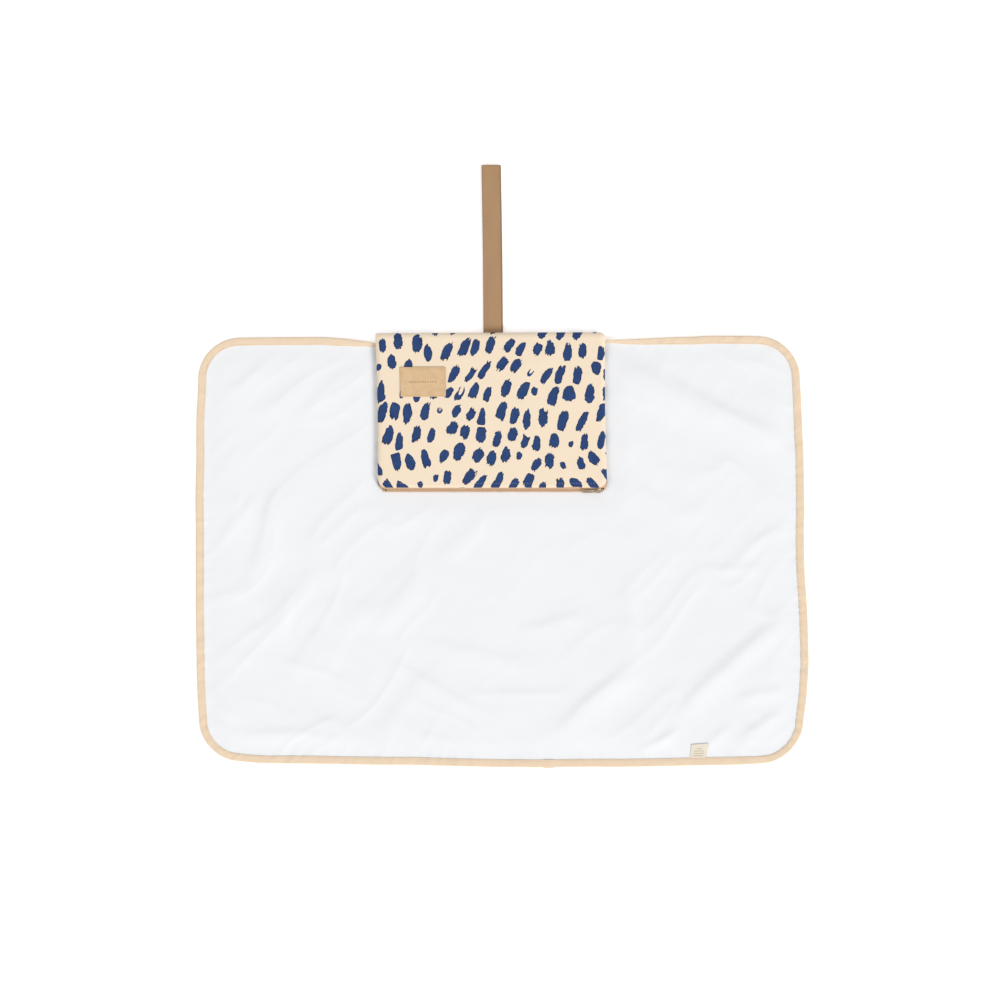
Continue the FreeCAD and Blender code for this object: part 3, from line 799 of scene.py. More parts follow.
def corner_inset(x, x0, x1, rl, rr):
    """How far the edge is pulled in at x by the corner radii."""
    a = np.clip(rl - (x - x0), 0, rl)
    b = np.clip(rr - (x1 - x), 0, rr)
    return (rl - np.sqrt(np.maximum(rl * rl - a * a, 0))) + (rr - np.sqrt(np.maximum(rr * rr - b * b, 0)))


def side_columns(x0, x1, n, edge, m):
    """Columns that crowd at both sides."""
    ph = np.linspace(0, math.pi / 2, m)
    l = x0 + edge * (1 - np.cos(ph))
    r = x1 - edge * (1 - np.cos(ph))
    return np.concatenate([l, np.linspace(l[-1], r[-1], n)[1:-1], r[::-1]])


def pouch_depth(x, y, x0, x1, y0, y1, rbl, rbr, rtr, rtl, bottom=True):
    """Distance in from the pouch's edge; without the zip edge if bottom is False."""
    d = np.minimum(x - x0, x1 - x)
    d = np.minimum(d, y1 - y)
    if bottom:
        d = np.minimum(d, y - y0)
    for cx, cy, r, sx, sy in ((x0 + rtl, y1 - rtl, rtl, -1, 1), (x1 - rtr, y1 - rtr, rtr, 1, 1),
                              (x0 + rbl, y0 + rbl, rbl, -1, -1), (x1 - rbr, y0 + rbr, rbr, 1, -1)):
        inc = ((x - cx) * sx > 0) & ((y - cy) * sy > 0)
        if sy < 0 and not bottom:
            # round only towards the side
            dd = r - np.hypot(x - cx, y - cy)
            wgt = np.clip(np.abs(x - cx) / np.maximum(np.hypot(x - cx, y - cy), 1e-6), 0, 1)
            alt = dd * wgt + np.minimum(d, 30) * (1 - wgt) + 12 * (1 - wgt)
            d = np.where(inc, np.minimum(d, np.maximum(dd, 0) + 30 * (1 - sstep(0.0, 0.55, wgt))), d)
        else:
            d = np.where(inc, np.minimum(d, r - np.hypot(x - cx, y - cy)), d)
    return np.maximum(d, 0)


def pouch_folds(x, y):
    """Soft unevenness of the front, with small puckers running in from the seams."""
    dl, dr, dt = x - PX0, PX1 - x, PY1 - y
    z = 0.22 * fbm(x / 60, y / 45, 61, 3)
    z = z + 0.24 * noise(y / 9.5, 0.3, 62) * np.exp(-dl / 9) + 0.24 * noise(y / 9.0, 0.7, 63) * np.exp(-dr / 9)
    z = z + 0.20 * noise(x / 10.0, 0.2, 64) * np.exp(-dt / 8)
    z = z + 0.20 * noise(x / 12.0, 0.9, 65) * np.exp(-(y - PYF) / 9)
    z = z + 0.35 * np.exp(-((x * 0.5 - y + 190) / 9) ** 2) * np.exp(-((x - 60) / 50) ** 2)
    z = z + 0.30 * np.exp(-((x * 0.35 + y - 108) / 8) ** 2) * np.exp(-((x + 60) / 55) ** 2)
    return z


def front_z(x, y):
    d = pouch_depth(x, y, PX0, PX1, PYF, PY1, RB, RB, RTR, RTL, bottom=False)
    zs = SEAM_Z + 3.1 * (1 - sstep(PYF + 1, PYF + 12, y))
    D = 6.5
    t = np.clip(d / D, 0, 1)
    prof = np.sqrt(np.maximum(1 - (1 - t) ** 2, 0))
    H = 10.9
    crown = 1.25 * (1 - ((x - (PX0 + PX1) / 2) / 128) ** 2) * (1 - ((y - 150) / 96) ** 2)
    crown = np.maximum(crown, 0)
    hem = -0.55 * np.exp(-((y - PYF) / 0.9) ** 2)
    body = zs + (H - zs) * prof + crown * sstep(0, 22, d) + pouch_folds(x, y) * sstep(0.5, 5, d) * 0.9 + hem
    return body


def back_z(x, y, y0):
    d = pouch_depth(x, y, PX0, PX1, y0, PY1, RB + 2, RB + 2, RTR, RTL)
    zs = SEAM_Z - 2.0 * (1 - sstep(y0 + 1, y0 + 13, y))
    t = np.clip(d / 5.0, 0, 1)
    prof = np.sqrt(np.maximum(1 - (1 - t) ** 2, 0))
    return zs + (4.05 - zs) * prof + 0.12 * (1 + noise(x / 30, y / 30, 66)) * sstep(4, 20, d)


cols = side_columns(PX0, PX1, 190, 6.5, 9)
nrow = 132
v = np.linspace(0, 1, nrow)
v = np.concatenate([[0, 0.0025, 0.006], v[2:-4], 1 - (1 - np.sin(np.linspace(0.55, math.pi / 2, 9))) * 0.035])
v = np.unique(np.clip(v, 0, 1))
X = cols[:, None].repeat(len(v), 1)
yt = PY1 - corner_inset(cols, PX0, PX1, RTL, RTR)
yb = PYF + corner_inset(cols, PX0, PX1, RB, RB)
Y = yb[:, None] + (yt - yb)[:, None] * v[None, :]
Z = front_z(X, Y)
TH = 0.55
gx = np.gradient(Z, axis=0) / np.maximum(np.gradient(X, axis=0), 1e-6)
dd = pouch_depth(X, Y, PX0, PX1, PYF, PY1, RB, RB, RTR, RTL, bottom=False)
shrink = TH * (1 - sstep(0, 6, dd))
cxm, cym = (PX0 + PX1) / 2, 158.0
Xi = X - np.sign(X - cxm) * shrink * (np.abs(X - cxm) > 100)
Yi = Y - shrink * (Y > 230)
Zi = np.maximum(Z - TH, SEAM_Z - 0.02) - 0.0
# gentle pull-in of the sides between the corners
def pull(x, y):
    k = 1.3 * np.sin(np.clip((y - 70) / 172, 0, 1) * math.pi) * (np.abs(x - cxm) / 128) ** 3
    shear = 2.2 * (y - 158) / 86.0                       # the pouch lies a touch askew
    return x - np.sign(x - cxm) * k - shear * 0.55, y + 1.1 * np.sin((x - cxm) / 128 * 1.4) * (y > 150) * 0.5


uv_f = {"cloth": cloth_uv(X, Y), "dab": dab_uv(X, Y)}
Xp, Yp = pull(X, Y)
Xq, Yq = pull(Xi, Yi)
front = shell("pouch_front", Xp, Yp, Z, Zi, M_PRINT, uv_f, Xb=Xq, Yb=Yq, sharp=60)
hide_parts("pouch_front_panel")
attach(front, "pouch")

# back panel: its lower edge turns up outside the zip
YB0 = 66.8
X = side_columns(PX0, PX1, 120, 5.0, 8)[:, None]
vb = np.concatenate([1 - np.cos(np.linspace(0, math.pi / 2, 8)), np.linspace(1, 1, 0)]) * 0.03
vv = np.unique(np.concatenate([vb, np.linspace(0.03, 0.97, 84), 1 - vb]))
cb = X[:, 0]
ybb = YB0 + corner_inset(cb, PX0, PX1, RB + 2, RB + 2)
ytt = PY1 - corner_inset(cb, PX0, PX1, RTL, RTR)
Xb = X.repeat(len(vv), 1)
Yb = ybb[:, None] + (ytt - ybb)[:, None] * vv[None, :]
Zb = back_z(Xb, Yb, YB0)
db = pouch_depth(Xb, Yb, PX0, PX1, YB0, PY1, RB + 2, RB + 2, RTR, RTL)
sh = 0.5 * (1 - sstep(0, 5, db))
Zt = np.minimum(Zb + 0.5, SEAM_Z - 0.03)
Xc = Xb - np.sign(Xb - cxm) * sh * (np.abs(Xb - cxm) > 118)
Yc = Yb - sh * (Yb > 225) + sh * (Yb < 84)
Xb2, Yb2 = pull(Xb, Yb)
Xc2, Yc2 = pull(Xc, Yc)
back = shell("pouch_back", Xc2, Yc2, Zt, Zb, M_PRINT, {"cloth": cloth_uv(Xb, Yb), "dab": dab_uv(Xb + 260, Yb + 77)},
             Xb=Xb2, Yb=Yb2, sharp=60)
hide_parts("pouch_back_panel")
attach(back, "pouch")

# linings, just inside both panels
for nm, zf, node in (("front", lambda x, y: front_z(x, y) - 0.9, "pouch_front_lining"),
                     ("back", lambda x, y: back_z(x, y, YB0) + 0.75, "pouch_back_lining")):
    xs = np.linspace(PX0 + 7, PX1 - 7, 70)
    ys = np.linspace(80 if nm == "front" else 76, PY1 - 7, 50)
    XX, YY = np.meshgrid(xs, ys, indexing="ij")
    ZZ = zf(XX, YY)
    ob = shell("pouch_" + nm + "_lining_cloth", XX, YY, ZZ, ZZ - 0.4, M_LINING, {"cloth": cloth_uv(XX, YY)})
    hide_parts(node)
    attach(ob, "pouch")


# ------------------------------------------------------------------ zip
def zip_path(n_arc=14):
    """Stations along the mouth's edge: point, outward normal, share of full width, how far the halves close."""
    st = []
    cyb = PYF + RB
    deg = math.radians
    for i in range(n_arc):
        b = deg(76) * (1 - i / n_arc)                      # 0 at the bottom, 76 degrees up the side
        st.append((PX0 + RB - RB * math.sin(b), cyb - RB * math.cos(b), -math.sin(b), -math.cos(b),
                   1 - float(sstep(deg(10), deg(70), b)), float(sstep(deg(5), deg(15), b))))
    L = (PX1 - RB) - (PX0 + RB)
    m = int(L / 2.0)
    for i in range(m + 1):
        st.append((PX0 + RB + L * i / m, PYF, 0.0, -1.0, 1.0, 0.0))
    for i in range(1, n_arc + 1):
        b = deg(76) * i / n_arc
        st.append((PX1 - RB + RB * math.sin(b), cyb - RB * math.cos(b), math.sin(b), -math.cos(b),
                   1 - float(sstep(deg(28), deg(74), b)), float(sstep(deg(25), deg(35), b))))
    return np.array(st)


ST = zip_path()
ZY, ZZ0 = 69.3, 8.1


def recede(x):
    """The mouth's edge draws back at the pouch's rounded corners."""
    a = np.clip(np.maximum(x - (PX1 - RB), (PX0 + RB) - x), 0, RB - 0.5)
    return RB - np.sqrt(RB * RB - a * a)


def zip_point(u, n, st):
    """A point across the zip (u along the tape, n out of its face) at each station."""
    k = st[:, 4]
    u = u - np.sign(u) * 1.72 * st[:, 5] * max(0.0, 1 - (abs(u) - 1.75) / 3.0)
    out = PYF - (ZY + 0.8 * u - 0.6 * n)                    # how far outside the front's edge
    z = ZZ0 + 0.6 * u + 0.8 * n
    out_e = out * k
    z_e = SEAM_Z + 0.1 + (z - SEAM_Z - 0.1) * (0.25 + 0.75 * k)
    return np.stack([st[:, 0] + st[:, 2] * out_e, st[:, 1] + st[:, 3] * out_e, z_e + 0 * k], -1)


def zip_tape(name, us, sgn, node):
    run = np.concatenate([[0], np.cumsum(np.linalg.norm(np.diff(ST[:, :2], axis=0), axis=1))])
    wav = 0.12 * noise(run / 7.0, 0.2 + sgn, 81)
    th = 0.24
    upper, lower = [], []
    for u, dn in us:
        sag = dn + wav * (abs(u) / 4.0)
        a = zip_point(u, sag + th, ST)
        b = zip_point(u, sag - th, ST)
        upper.append(a); lower.append(b)
    sec = upper + lower[::-1]
    P = np.stack(sec, 1)
    acc = np.arange(P.shape[1]) * 0.6
    uv = np.stack([run[:, None].repeat(P.shape[1], 1) * MM, acc[None, :].repeat(len(run), 0) * MM], -1).reshape(-1, 2)
    Xs, Ys = pull(P[..., 0], P[..., 1])
    P = np.stack([Xs, Ys, P[..., 2]], -1)
    ob = sweep(name, P, True, M_TAPE, {"cloth": uv}, sharp=60)
    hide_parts(node)
    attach(ob, "pouch")
    return ob


zip_tape("zip_tape_upper", [(1.75, 0.0), (2.2, 0.02), (2.8, 0.0), (3.4, -0.05), (4.0, -0.25), (4.6, -0.75), (5.4, -1.6)], 1, "zip_tape_front")
zip_tape("zip_tape_lower", [(-4.1, -1.7), (-3.7, -1.10), (-3.14, -0.52), (-2.75, -0.25), (-2.35, -0.08), (-1.75, 0.0)], -1, "zip_tape_back")


def teeth(name, sgn, node):
    pitch = 1.25
    n = int(238 / pitch)
    x0 = -129.0 + (0 if sgn > 0 else pitch / 2)
    V, F = [], []
    us = [(-0.35, 0.50), (-0.05, 0.72), (0.7, 0.74), (1.45, 0.66), (1.8, 0.42)]
    nr = 8
    one = None
    for i in range(n):
        xc = x0 + i * pitch
        base = len(V)
        for u, r in us:
            for k in range(nr):
                a = 2 * math.pi * k / nr
                xx = xc + math.cos(a) * 0.50 * min(1, r / 0.6) * (0.98 if u > 0 else 0.8)
                nn = math.sin(a) * r
                uu = sgn * u
                V.append((xx, ZY + 0.8 * uu - 0.6 * nn, ZZ0 + 0.6 * uu + 0.8 * nn))
        one = grid_faces(len(us), nr, wrap_v=True, flip=sgn < 0) + base
        F += one.tolist()
        c0 = list(range(base, base + nr))
        c1 = [base + (len(us) - 1) * nr + k for k in range(nr - 1, -1, -1)]
        F += [c0, c1] if sgn > 0 else [c0[::-1], c1[::-1]]
    V = np.array(V)
    Xs, Ys = pull(V[:, 0], V[:, 1] + recede(V[:, 0]))
    ob = mesh_of(name, np.stack([Xs, Ys, V[:, 2]], -1), F, M_COIL)
    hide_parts(node)
    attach(ob, "pouch")


teeth("zip_teeth_upper", 1, "zip_coil_front")
teeth("zip_teeth_lower", -1, "zip_coil_back")


def zframe(x, u, n):
    return (x, ZY + 0.8 * u - 0.6 * n, ZZ0 + 0.6 * u + 0.8 * n)


def zip_mesh(name, parts, mat, bevel=0.18, seg=2):
    """Solid pieces given as (outline in x and u, lowest n, highest n), joined into one bevelled object."""
    V, F = [], []
    for outline_xu, n0, n1 in parts:
        b = len(V)
        m = len(outline_xu)
        V += [zframe(x, u, n0) for x, u in outline_xu] + [zframe(x, u, n1) for x, u in outline_xu]
        F.append([b + m - 1 - k for k in range(m)])
        F.append([b + m + k for k in range(m)])
        for k in range(m):
            k2 = (k + 1) % m
            F.append([b + k, b + k2, b + m + k2, b + m + k])
    ob = mesh_of(name, V, F, mat)
    md = ob.modifiers.new("round", "BEVEL")
    md.width = bevel * MM
    md.segments = seg
    md.limit_method = "ANGLE"
    md.angle_limit = math.radians(40)
    md.harden_normals = False
    return ob


def oval(cx, cu, rx, ru, n=20, p=2.6):
    pts = []
    for i in range(n):
        a = 2 * math.pi * i / n
        c, s = math.cos(a), math.sin(a)
        pts.append((cx + rx * math.copysign(abs(c) ** (2 / p), c), cu + ru * math.copysign(abs(s) ** (2 / p), s)))
    return pts


SL0, SL1 = 100.8, 109.8
plate = [(SL0, -1.9), (SL0 + 0.8, -2.5), (SL0 + 3.4, -2.9), (SL1 - 2.2, -3.2), (SL1 - 0.5, -3.0), (SL1, -2.2),
         (SL1 - 0.5, -0.5), (SL1 - 0.5, 0.5),
         (SL1, 2.2), (SL1 - 0.5, 3.0), (SL1 - 2.2, 3.2), (SL0 + 3.4, 2.9), (SL0 + 0.8, 2.5), (SL0, 1.9)]
rail = lambda s: [(SL0 + 0.9, s * 2.2), (SL1 - 0.9, s * 2.75), (SL1 - 0.9, s * 3.12), (SL0 + 0.9, s * 2.55)][::int(s)]
body = zip_mesh("zip_slider", [
    (plate, 1.0, 1.7), (plate, -1.7, -1.0),
    (rail(1), 0.52, 1.05), (rail(-1), 0.52, 1.05), (rail(1), -1.05, -0.52), (rail(-1), -1.05, -0.52),
], M_METAL, 0.16)
# crown that holds the pull
cv, cf = [], []
nA = 15
for i in range(nA):
    a = math.pi * i / (nA - 1)
    for k in range(8):
        b = 2 * math.pi * k / 8
        r = 1.55 + 0.36 * math.cos(b)
        cv.append(zframe(104.5 + math.cos(a) * r * 1.05, 0.85 * math.sin(b), 1.55 + math.sin(a) * r * 1.28))
crown = mesh_of("zip_slider_crown", cv, grid_faces(nA, 8, wrap_v=True, flip=True).tolist()
                + [list(range(7, -1, -1)), [(nA - 1) * 8 + k for k in range(8)]], M_METAL)
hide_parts("zip_slider_body")
for o in (body, crown):
    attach(o, "zip_slider")

# pull tab: a slim plate with a hole near its end and an eye round the crown
def plate_with_hole(name, outer, inner, n0, n1, mat, bevel=0.14):
    m = len(outer)
    V = []
    for n in (n0, n1):
        V += [zframe(x, u, n) for x, u in outer] + [zframe(x, u, n) for x, u in inner]
    F = []
    for k in range(m):
        k2 = (k + 1) % m
        lo, li, ho, hi = 0, m, 2 * m, 3 * m
        F.append([ho + k, ho + k2, hi + k2, hi + k])
        F.append([lo + k2, lo + k, li + k, li + k2])
        F.append([lo + k, lo + k2, ho + k2, ho + k])
        F.append([li + k2, li + k, hi + k, hi + k2])
    ob = mesh_of(name, V, F, mat)
    md = ob.modifiers.new("round", "BEVEL")
    md.width = bevel * MM
    md.segments = 2
    md.limit_method = "ANGLE"
    md.angle_limit = math.radians(40)
    return ob


n0, n1 = 2.2, 2.9
eye = plate_with_hole("zip_pull_eye", oval(104.1, 0, 2.9, 1.95, 28), oval(104.4, 0, 1.9, 1.15, 28), n0, n1, M_METAL)
tab = plate_with_hole("zip_pull_tab_plate", oval(94.9, 0, 6.9, 2.1, 32, 3.6), oval(91.2, 0, 1.9, 1.0, 32, 3.0), n0 + 0.02, n1 - 0.02, M_METAL)
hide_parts("zip_pull_tab")
for o in (eye, tab):
    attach(o, "zip_pull")

stops = zip_mesh("zip_stops", [
    (oval(ZX, 0, 0.9, 1.95, 16, 4), 0.25, 0.95) for ZX in (111.0, -131.0)] + [
    (oval(ZX, 0, 0.9, 1.95, 16, 4), -0.95, -0.25) for ZX in (111.0, -131.0)] + [
    (oval(ZX, 0, 0.8, 1.5, 16, 4), -0.3, 0.3) for ZX in (111.0, -131.0)], M_METAL, 0.12)
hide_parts("zip_end_stops")
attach(stops, "pouch")

# topstitching along the front panel's hem
c, d, u = [], [], []
xs = np.arange(PX0 + 13, PX1 - 12, 3.2)
for x in xs:
    y = 76.6
    z = float(front_z(np.array(x), np.array(y)))
    za, zb2 = (float(front_z(np.array(x + e), np.array(y))) for e in (-1.0, 1.0))
    px, py = pull(np.array(x), np.array(y))
    t = np.array([2.0, 0, zb2 - za]); t /= np.linalg.norm(t)
    c.append((float(px), float(py), z - 0.05)); d.append(t)
    up = np.array([0, 0, 1.0]); up -= t * (up @ t); u.append(up / np.linalg.norm(up))
ts = capsules("hem_stitches", c, d, u, 2.0, 0.12, M_THREAD)
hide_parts("zip_topstitching")
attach(ts, "pouch")

# ------------------------------------------------------------------ leather patch
QX0, QX1, QY0, QY1 = -112.9, -61.9, 172.9, 205.9
def dense(a, b, step, edge):
    e = np.array([0, 0.12, 0.3, 0.55, 0.9])
    return np.concatenate([a + e, np.arange(a + 1.3, b - 1.3, step), (b - e)[::-1]])


px, py = dense(QX0, QX1, 0.4, 1), dense(QY0, QY1, 0.4, 1)
XX, YY = np.meshgrid(px, py, indexing="ij")
# rounded corners
cx0, cy0, r0 = (QX0 + QX1) / 2, (QY0 + QY1) / 2, 1.6
hx, hy = (QX1 - QX0) / 2, (QY1 - QY0) / 2
qx, qy = np.maximum(np.abs(XX - cx0) - (hx - r0), 0), np.maximum(np.abs(YY - cy0) - (hy - r0), 0)
rr = np.hypot(qx, qy)
sc = np.where((qx > 0) & (qy > 0), np.minimum(1, np.maximum(qx, qy) / np.maximum(rr, 1e-9)), 1.0)
XX = np.where((qx > 0) & (qy > 0), cx0 + np.sign(XX - cx0) * (hx - r0 + qx * sc), XX)
YY = np.where((qx > 0) & (qy > 0), cy0 + np.sign(YY - cy0) * (hy - r0 + qy * sc), YY)
qx, qy = np.abs(XX - cx0) - (hx - r0), np.abs(YY - cy0) - (hy - r0)
dq = r0 - (np.hypot(np.maximum(qx, 0), np.maximum(qy, 0)) + np.minimum(np.maximum(qx, qy), 0))
dq = np.maximum(dq, 0)
press = np.zeros_like(XX)
for k in range(11):                                  # a plain pressed row of dots
    press = np.maximum(press, 1 - sstep(0.62, 0.95, np.hypot(XX - cx0 - (k - 5) * 2.9, YY - cy0)))
groove = np.exp(-((dq - 1.9) / 0.28) ** 2)
base = front_z(XX, YY)
smooth_base = 0.65 * base + 0.35 * (12.0)
Zt = smooth_base + 0.95 - 0.5 * (1 - np.sqrt(np.maximum(1 - (1 - np.clip(dq / 0.55, 0, 1)) ** 2, 0))) \
    - 0.26 * press - 0.16 * groove + 0.04 * fbm(XX / 4, YY / 4, 91, 2)
Zt = np.maximum(Zt, base + 0.30)
Xp2, Yp2 = pull(XX, YY)
patch = shell("patch", Xp2, Yp2, Zt, base - 0.1, M_LEATHER, {"cloth": cloth_uv(XX, YY)}, sharp=75,
              attrs={"press": press * 0.95, "edge": (1 - sstep(0.15, 0.5, dq)) * 0.55})
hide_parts("leather_patch")
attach(patch, "pouch")
c, d, u = [], [], []
i = 1.9
loop = []
for (ax, ay, bx, by) in ((QX0 + i, QY0 + i, QX1 - i, QY0 + i), (QX1 - i, QY0 + i, QX1 - i, QY1 - i),
                         (QX1 - i, QY1 - i, QX0 + i, QY1 - i), (QX0 + i, QY1 - i, QX0 + i, QY0 + i)):
    L = math.hypot(bx - ax, by - ay)
    n = int(L / 2.6)
    for k in range(n):
        t = (k + 0.5) / n
        x, y = ax + (bx - ax) * t, ay + (by - ay) * t
        bz = float(0.65 * front_z(np.array(x), np.array(y)) + 0.35 * 12.0) + 0.95
        ppx, ppy = pull(np.array(x), np.array(y))
        c.append((float(ppx), float(ppy), bz - 0.08)); d.append(((bx - ax) / L, (by - ay) / L, 0)); u.append((0, 0, 1))
ps = capsules("patch_stitches", c, d, u, 1.9, 0.21, M_PTHREAD)
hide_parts("patch_stitching")
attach(ps, "pouch")

# ------------------------------------------------------------------ cloth that joins the pouch to the mat's edge
prof = np.array([(237.2, 3.66), (238.6, 3.72), (239.9, 3.75), (241.0, 3.85), (242.0, 4.15), (242.8, 4.7), (243.3, 5.5), (243.4, 6.3), (243.2, 7.0), (242.8, 7.3)])
xs = np.linspace(PX0 + 12, PX1 - 13, 110)
run = np.concatenate([[0], np.cumsum(np.linalg.norm(np.diff(prof, axis=0), axis=1))])
tang = np.gradient(prof, axis=0)
nrm = np.stack([tang[:, 1], -tang[:, 0]], -1)
nrm /= np.linalg.norm(nrm, axis=1)[:, None]
secA = np.concatenate([prof + nrm * 0.0, (prof - nrm * 0.45)[::-1]])
P = np.zeros((len(xs), len(secA), 3))
P[..., 0] = xs[:, None]
wob = 0.15 * noise(xs / 12, 0.4, 95)[:, None] * np.sin(np.linspace(0, math.pi, len(prof)))[None, :]
wob = np.concatenate([wob, wob[:, ::-1]], 1)
P[..., 1] = secA[None, :, 0] + wob
P[..., 2] = secA[None, :, 1]
uvr = np.concatenate([run, run[::-1]])
uvg = np.stack([xs[:, None].repeat(len(secA), 1), uvr[None, :].repeat(len(xs), 0)], -1)
gus = sweep("pouch_hinge_cloth", P, True, M_PRINT, {"cloth": (uvg * MM).reshape(-1, 2), "dab": dab_uv(uvg[..., 0] + 90, uvg[..., 1] + 400).reshape(-1, 2)}, sharp=60)
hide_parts("pouch_hinge_tape")
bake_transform(gus)

# ------------------------------------------------------------------ elastic loop
SW = 20.5
SY0, SCUT, SY1 = 234.0, 252.0, 430.3


def strap_xyz(path, part):
    """Band swept along (y, z, thickness side) with ribs across its width."""
    nx = 47
    w = np.linspace(-1, 1, nx)
    xs = np.sign(w) * (1 - (1 - np.abs(w)) ** 1.2) * SW / 2
    rib = 0.07 * np.abs(np.sin(np.pi * (xs + SW) / 1.15))
    edge = np.sqrt(np.maximum(1 - (np.clip((np.abs(xs) - (SW / 2 - 0.6)) / 0.6, 0, 1)) ** 2, 0))
    path = np.asarray(path, float)
    y, z, ny, nz, xo = path.T
    th = 0.60
    P = []
    for s in (1, -1):
        hh = (th + rib) * edge * s
        Yv = y[:, None] + ny[:, None] * hh[None, :]
        Zv = z[:, None] + nz[:, None] * hh[None, :]
        Xv = xs[None, :] + xo[:, None] + 0 * Yv
        P.append(np.stack([Xv, Yv, Zv], -1) if s > 0 else np.stack([Xv, Yv, Zv], -1)[:, ::-1])
    return np.concatenate(P, 1), xs


def centre_x(y):
    return -10.0 - 2.1 * np.clip((y - 250) / 180.0, 0, 1) + 0.25 * np.sin(y / 42.0)


def strap_line(y0, y1, z, n, up, off):
    yy = np.linspace(y0, y1, n)
    out = []
    for y in yy:
        lift = 0.18 * math.sin(y / 31.0) * (1 if 262 < y < 420 else 0) * (0.5 + 0.5 * float(sstep(262, 280, y)) - 0.5 * float(sstep(400, 420, y)))
        zz = z + (abs(lift) if up > 0 else 0)
        k = float(sstep(243, 236, y))                     # pressed together inside the seam
        zz = zz * (1 - k) + (1.9 + (0.62 if up > 0 else -0.62)) * k
        out.append((y, zz, 0.0, float(up), float(centre_x(y)) + off))
    return out


def u_turn(y, z0, z1, n, off0, off1):
    r = (z1 - z0) / 2
    out = []
    for i in range(1, n):
        a = -math.pi / 2 + math.pi * i / n
        out.append((y + r * math.cos(a) * 0.9, (z0 + z1) / 2 + r * math.sin(a), math.cos(a), math.sin(a),
                    float(centre_x(y)) + off0 + (off1 - off0) * i / n))
    return out


ZL, ZU = 0.72, 2.14
OFF_L, OFF_U = 0.85, -0.3


def strap_piece(name, path, closed_ends):
    P, xs = strap_xyz(path, name)
    run = np.concatenate([[0], np.cumsum(np.linalg.norm(np.diff(np.asarray(path)[:, :2], axis=0), axis=1))])
    uu = np.concatenate([xs, xs[::-1]]) + SW
    uv = np.stack([uu[None, :].repeat(len(run), 0), run[:, None].repeat(len(uu), 1)], -1) * MM
    return P, uv.reshape(-1, 2)


def add_strap(name, paths, nodes):
    V, F, UV = [], [], []
    base = 0
    for path in paths:
        P, uv = strap_piece(name, path, True)
        ns, nc, _ = P.shape
        f = grid_faces(ns, nc, wrap_v=True, base=base, flip=True).tolist()
        f.append([base + k for k in range(nc - 1, -1, -1)])
        f.append([base + (ns - 1) * nc + k for k in range(nc)])
        V.append(P.reshape(-1, 3)); F += f; UV.append(uv)
        base += ns * nc
    ob = mesh_of(name, np.concatenate(V), F, M_ELASTIC, {"cloth": np.concatenate(UV)}, sharp=60)
    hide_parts(*nodes)
    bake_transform(ob)
    return ob


add_strap("strap_base", [strap_line(SY0, SCUT, ZL, 28, -1, OFF_L), strap_line(SY0, SCUT, ZU, 28, 1, OFF_U)],
          ["strap_root", "strap_riser"])
path = strap_line(SCUT, SY1 - 0.75, ZL, 110, -1, OFF_L) + u_turn(SY1 - 0.75, ZL, ZU, 9, OFF_L, OFF_U) \
    + strap_line(SY1 - 0.75, SCUT, ZU, 110, 1, OFF_U)
add_strap("strap_band", [path], ["strap_loop"])

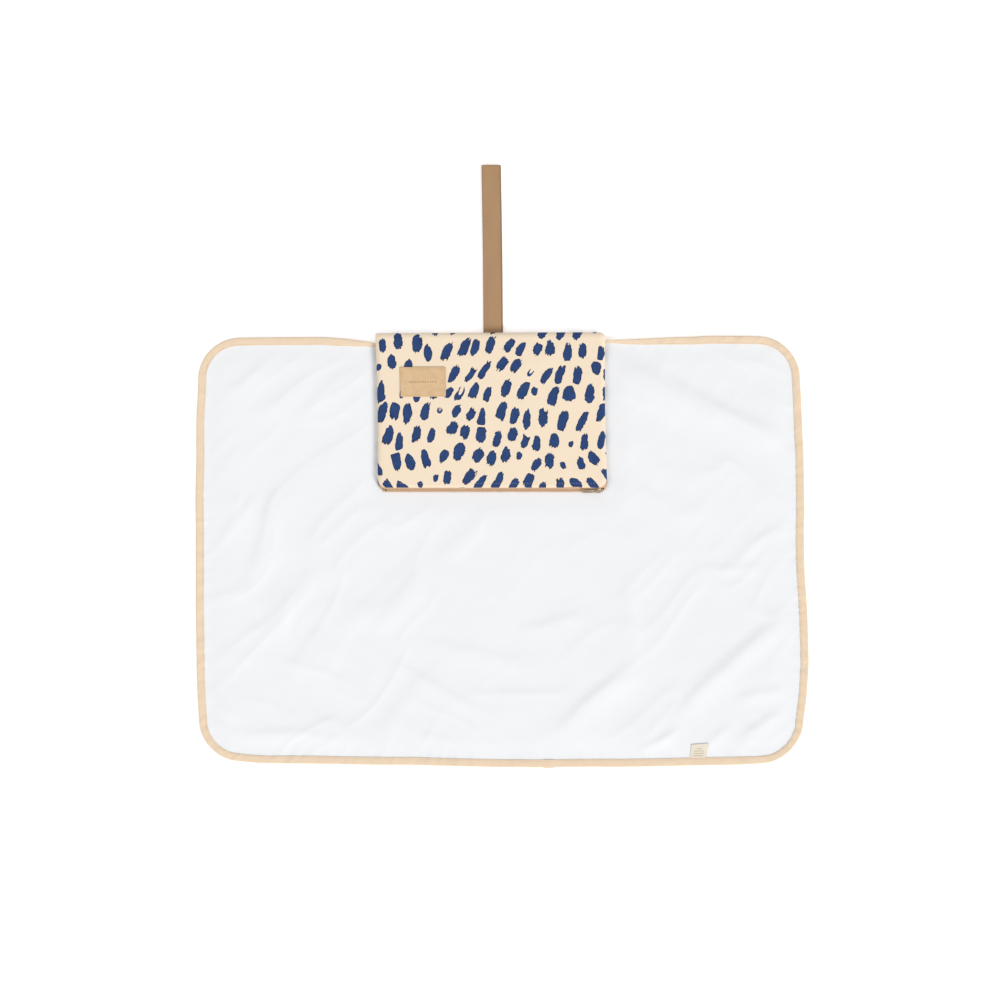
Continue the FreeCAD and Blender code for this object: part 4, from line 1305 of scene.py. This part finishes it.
# ------------------------------------------------------------------ care label
LX0, LX1 = 211.9, 229.9
xs = np.linspace(LX0, LX1, 30)
ys = np.concatenate([np.linspace(-233.4, -231.3, 5), np.linspace(-231.0, -228.4, 6), np.linspace(-227.8, -215.6, 30)])
XX, YY = np.meshgrid(xs, ys, indexing="ij")
s0 = np.clip((YY + 229.5) / 15.4, 0, 1)
lean = s0 * (1.5 + 1.4 * (XX - LX0) / 18)
xb, yb_, zb_ = laid(XX + lean, YY + 0.07 * (XX - 220) * s0, top_low(XX, YY) + 0.6)
rise = 0.14 + 0.55 * s0 ** 2 + 0.22 * s0 * np.sin((XX - LX0) / 21 * math.pi * 1.6)
zl = zb_ + rise
tuck = sstep(-230.7, -231.2, YY)
zl = zl * (1 - tuck) + (zb_ + 0.02) * tuck
label = shell("care_label_tape", xb, yb_, zl + 0.38, zl, M_LABEL,
              {"cloth": np.stack([(XX - LX0 + 1.5) * MM, (YY + 231.0) * MM], -1)}, sharp=50)
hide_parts("care_label_tail", "care_label_leaf")
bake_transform(label)

# ------------------------------------------------------------------ floor, light, camera
bpy.ops.mesh.primitive_plane_add(size=14, location=(0, 0, -0.0006))
floor = bpy.context.object
floor.name = "floor"
fm = bpy.data.materials.new("floor")
fm.use_nodes = True
fb = fm.node_tree.nodes["Principled BSDF"]
fb.inputs["Base Color"].default_value = (0.93, 0.93, 0.93, 1)
fb.inputs["Roughness"].default_value = 0.9
fb.inputs["Specular IOR Level"].default_value = 0.1
fb.inputs["Emission Color"].default_value = (1, 1, 1, 1)
fb.inputs["Emission Strength"].default_value = 0.30
floor.data.materials.append(fm)

world = bpy.data.worlds.new("studio")
bpy.context.scene.world = world
world.use_nodes = True
world.node_tree.nodes["Background"].inputs["Color"].default_value = (0.985, 0.99, 1.0, 1)
world.node_tree.nodes["Background"].inputs["Strength"].default_value = 0.66


def sun(name, toward, share, angle):
    """A broad soft light from a direction, giving level cloth that share of its brightness."""
    t = Vector(toward).normalized()
    la = bpy.data.lights.new(name, "SUN")
    la.energy = share * math.pi / t.z
    la.angle = math.radians(angle)
    ob = bpy.data.objects.new(name, la)
    ob.location = t * 3
    ob.rotation_euler = t.to_track_quat("Z", "Y").to_euler()
    bpy.context.scene.collection.objects.link(ob)


sun("key", (0.70, -0.66, 0.60), 0.40, 20)
sun("fill", (-0.80, -0.20, 0.75), 0.17, 34)

cam_data = bpy.data.cameras.new("camera")
cam_data.sensor_width = 36
cam_data.lens = 97.1
cam = bpy.data.objects.new("camera", cam_data)
cam.location = (-0.0022, 0.0581, 3.0)
cam.rotation_euler = (0, 0, 0)
bpy.context.scene.collection.objects.link(cam)
bpy.context.scene.camera = cam
cam_data.clip_end = 50
bpy.context.scene.view_settings.view_transform = "Standard"
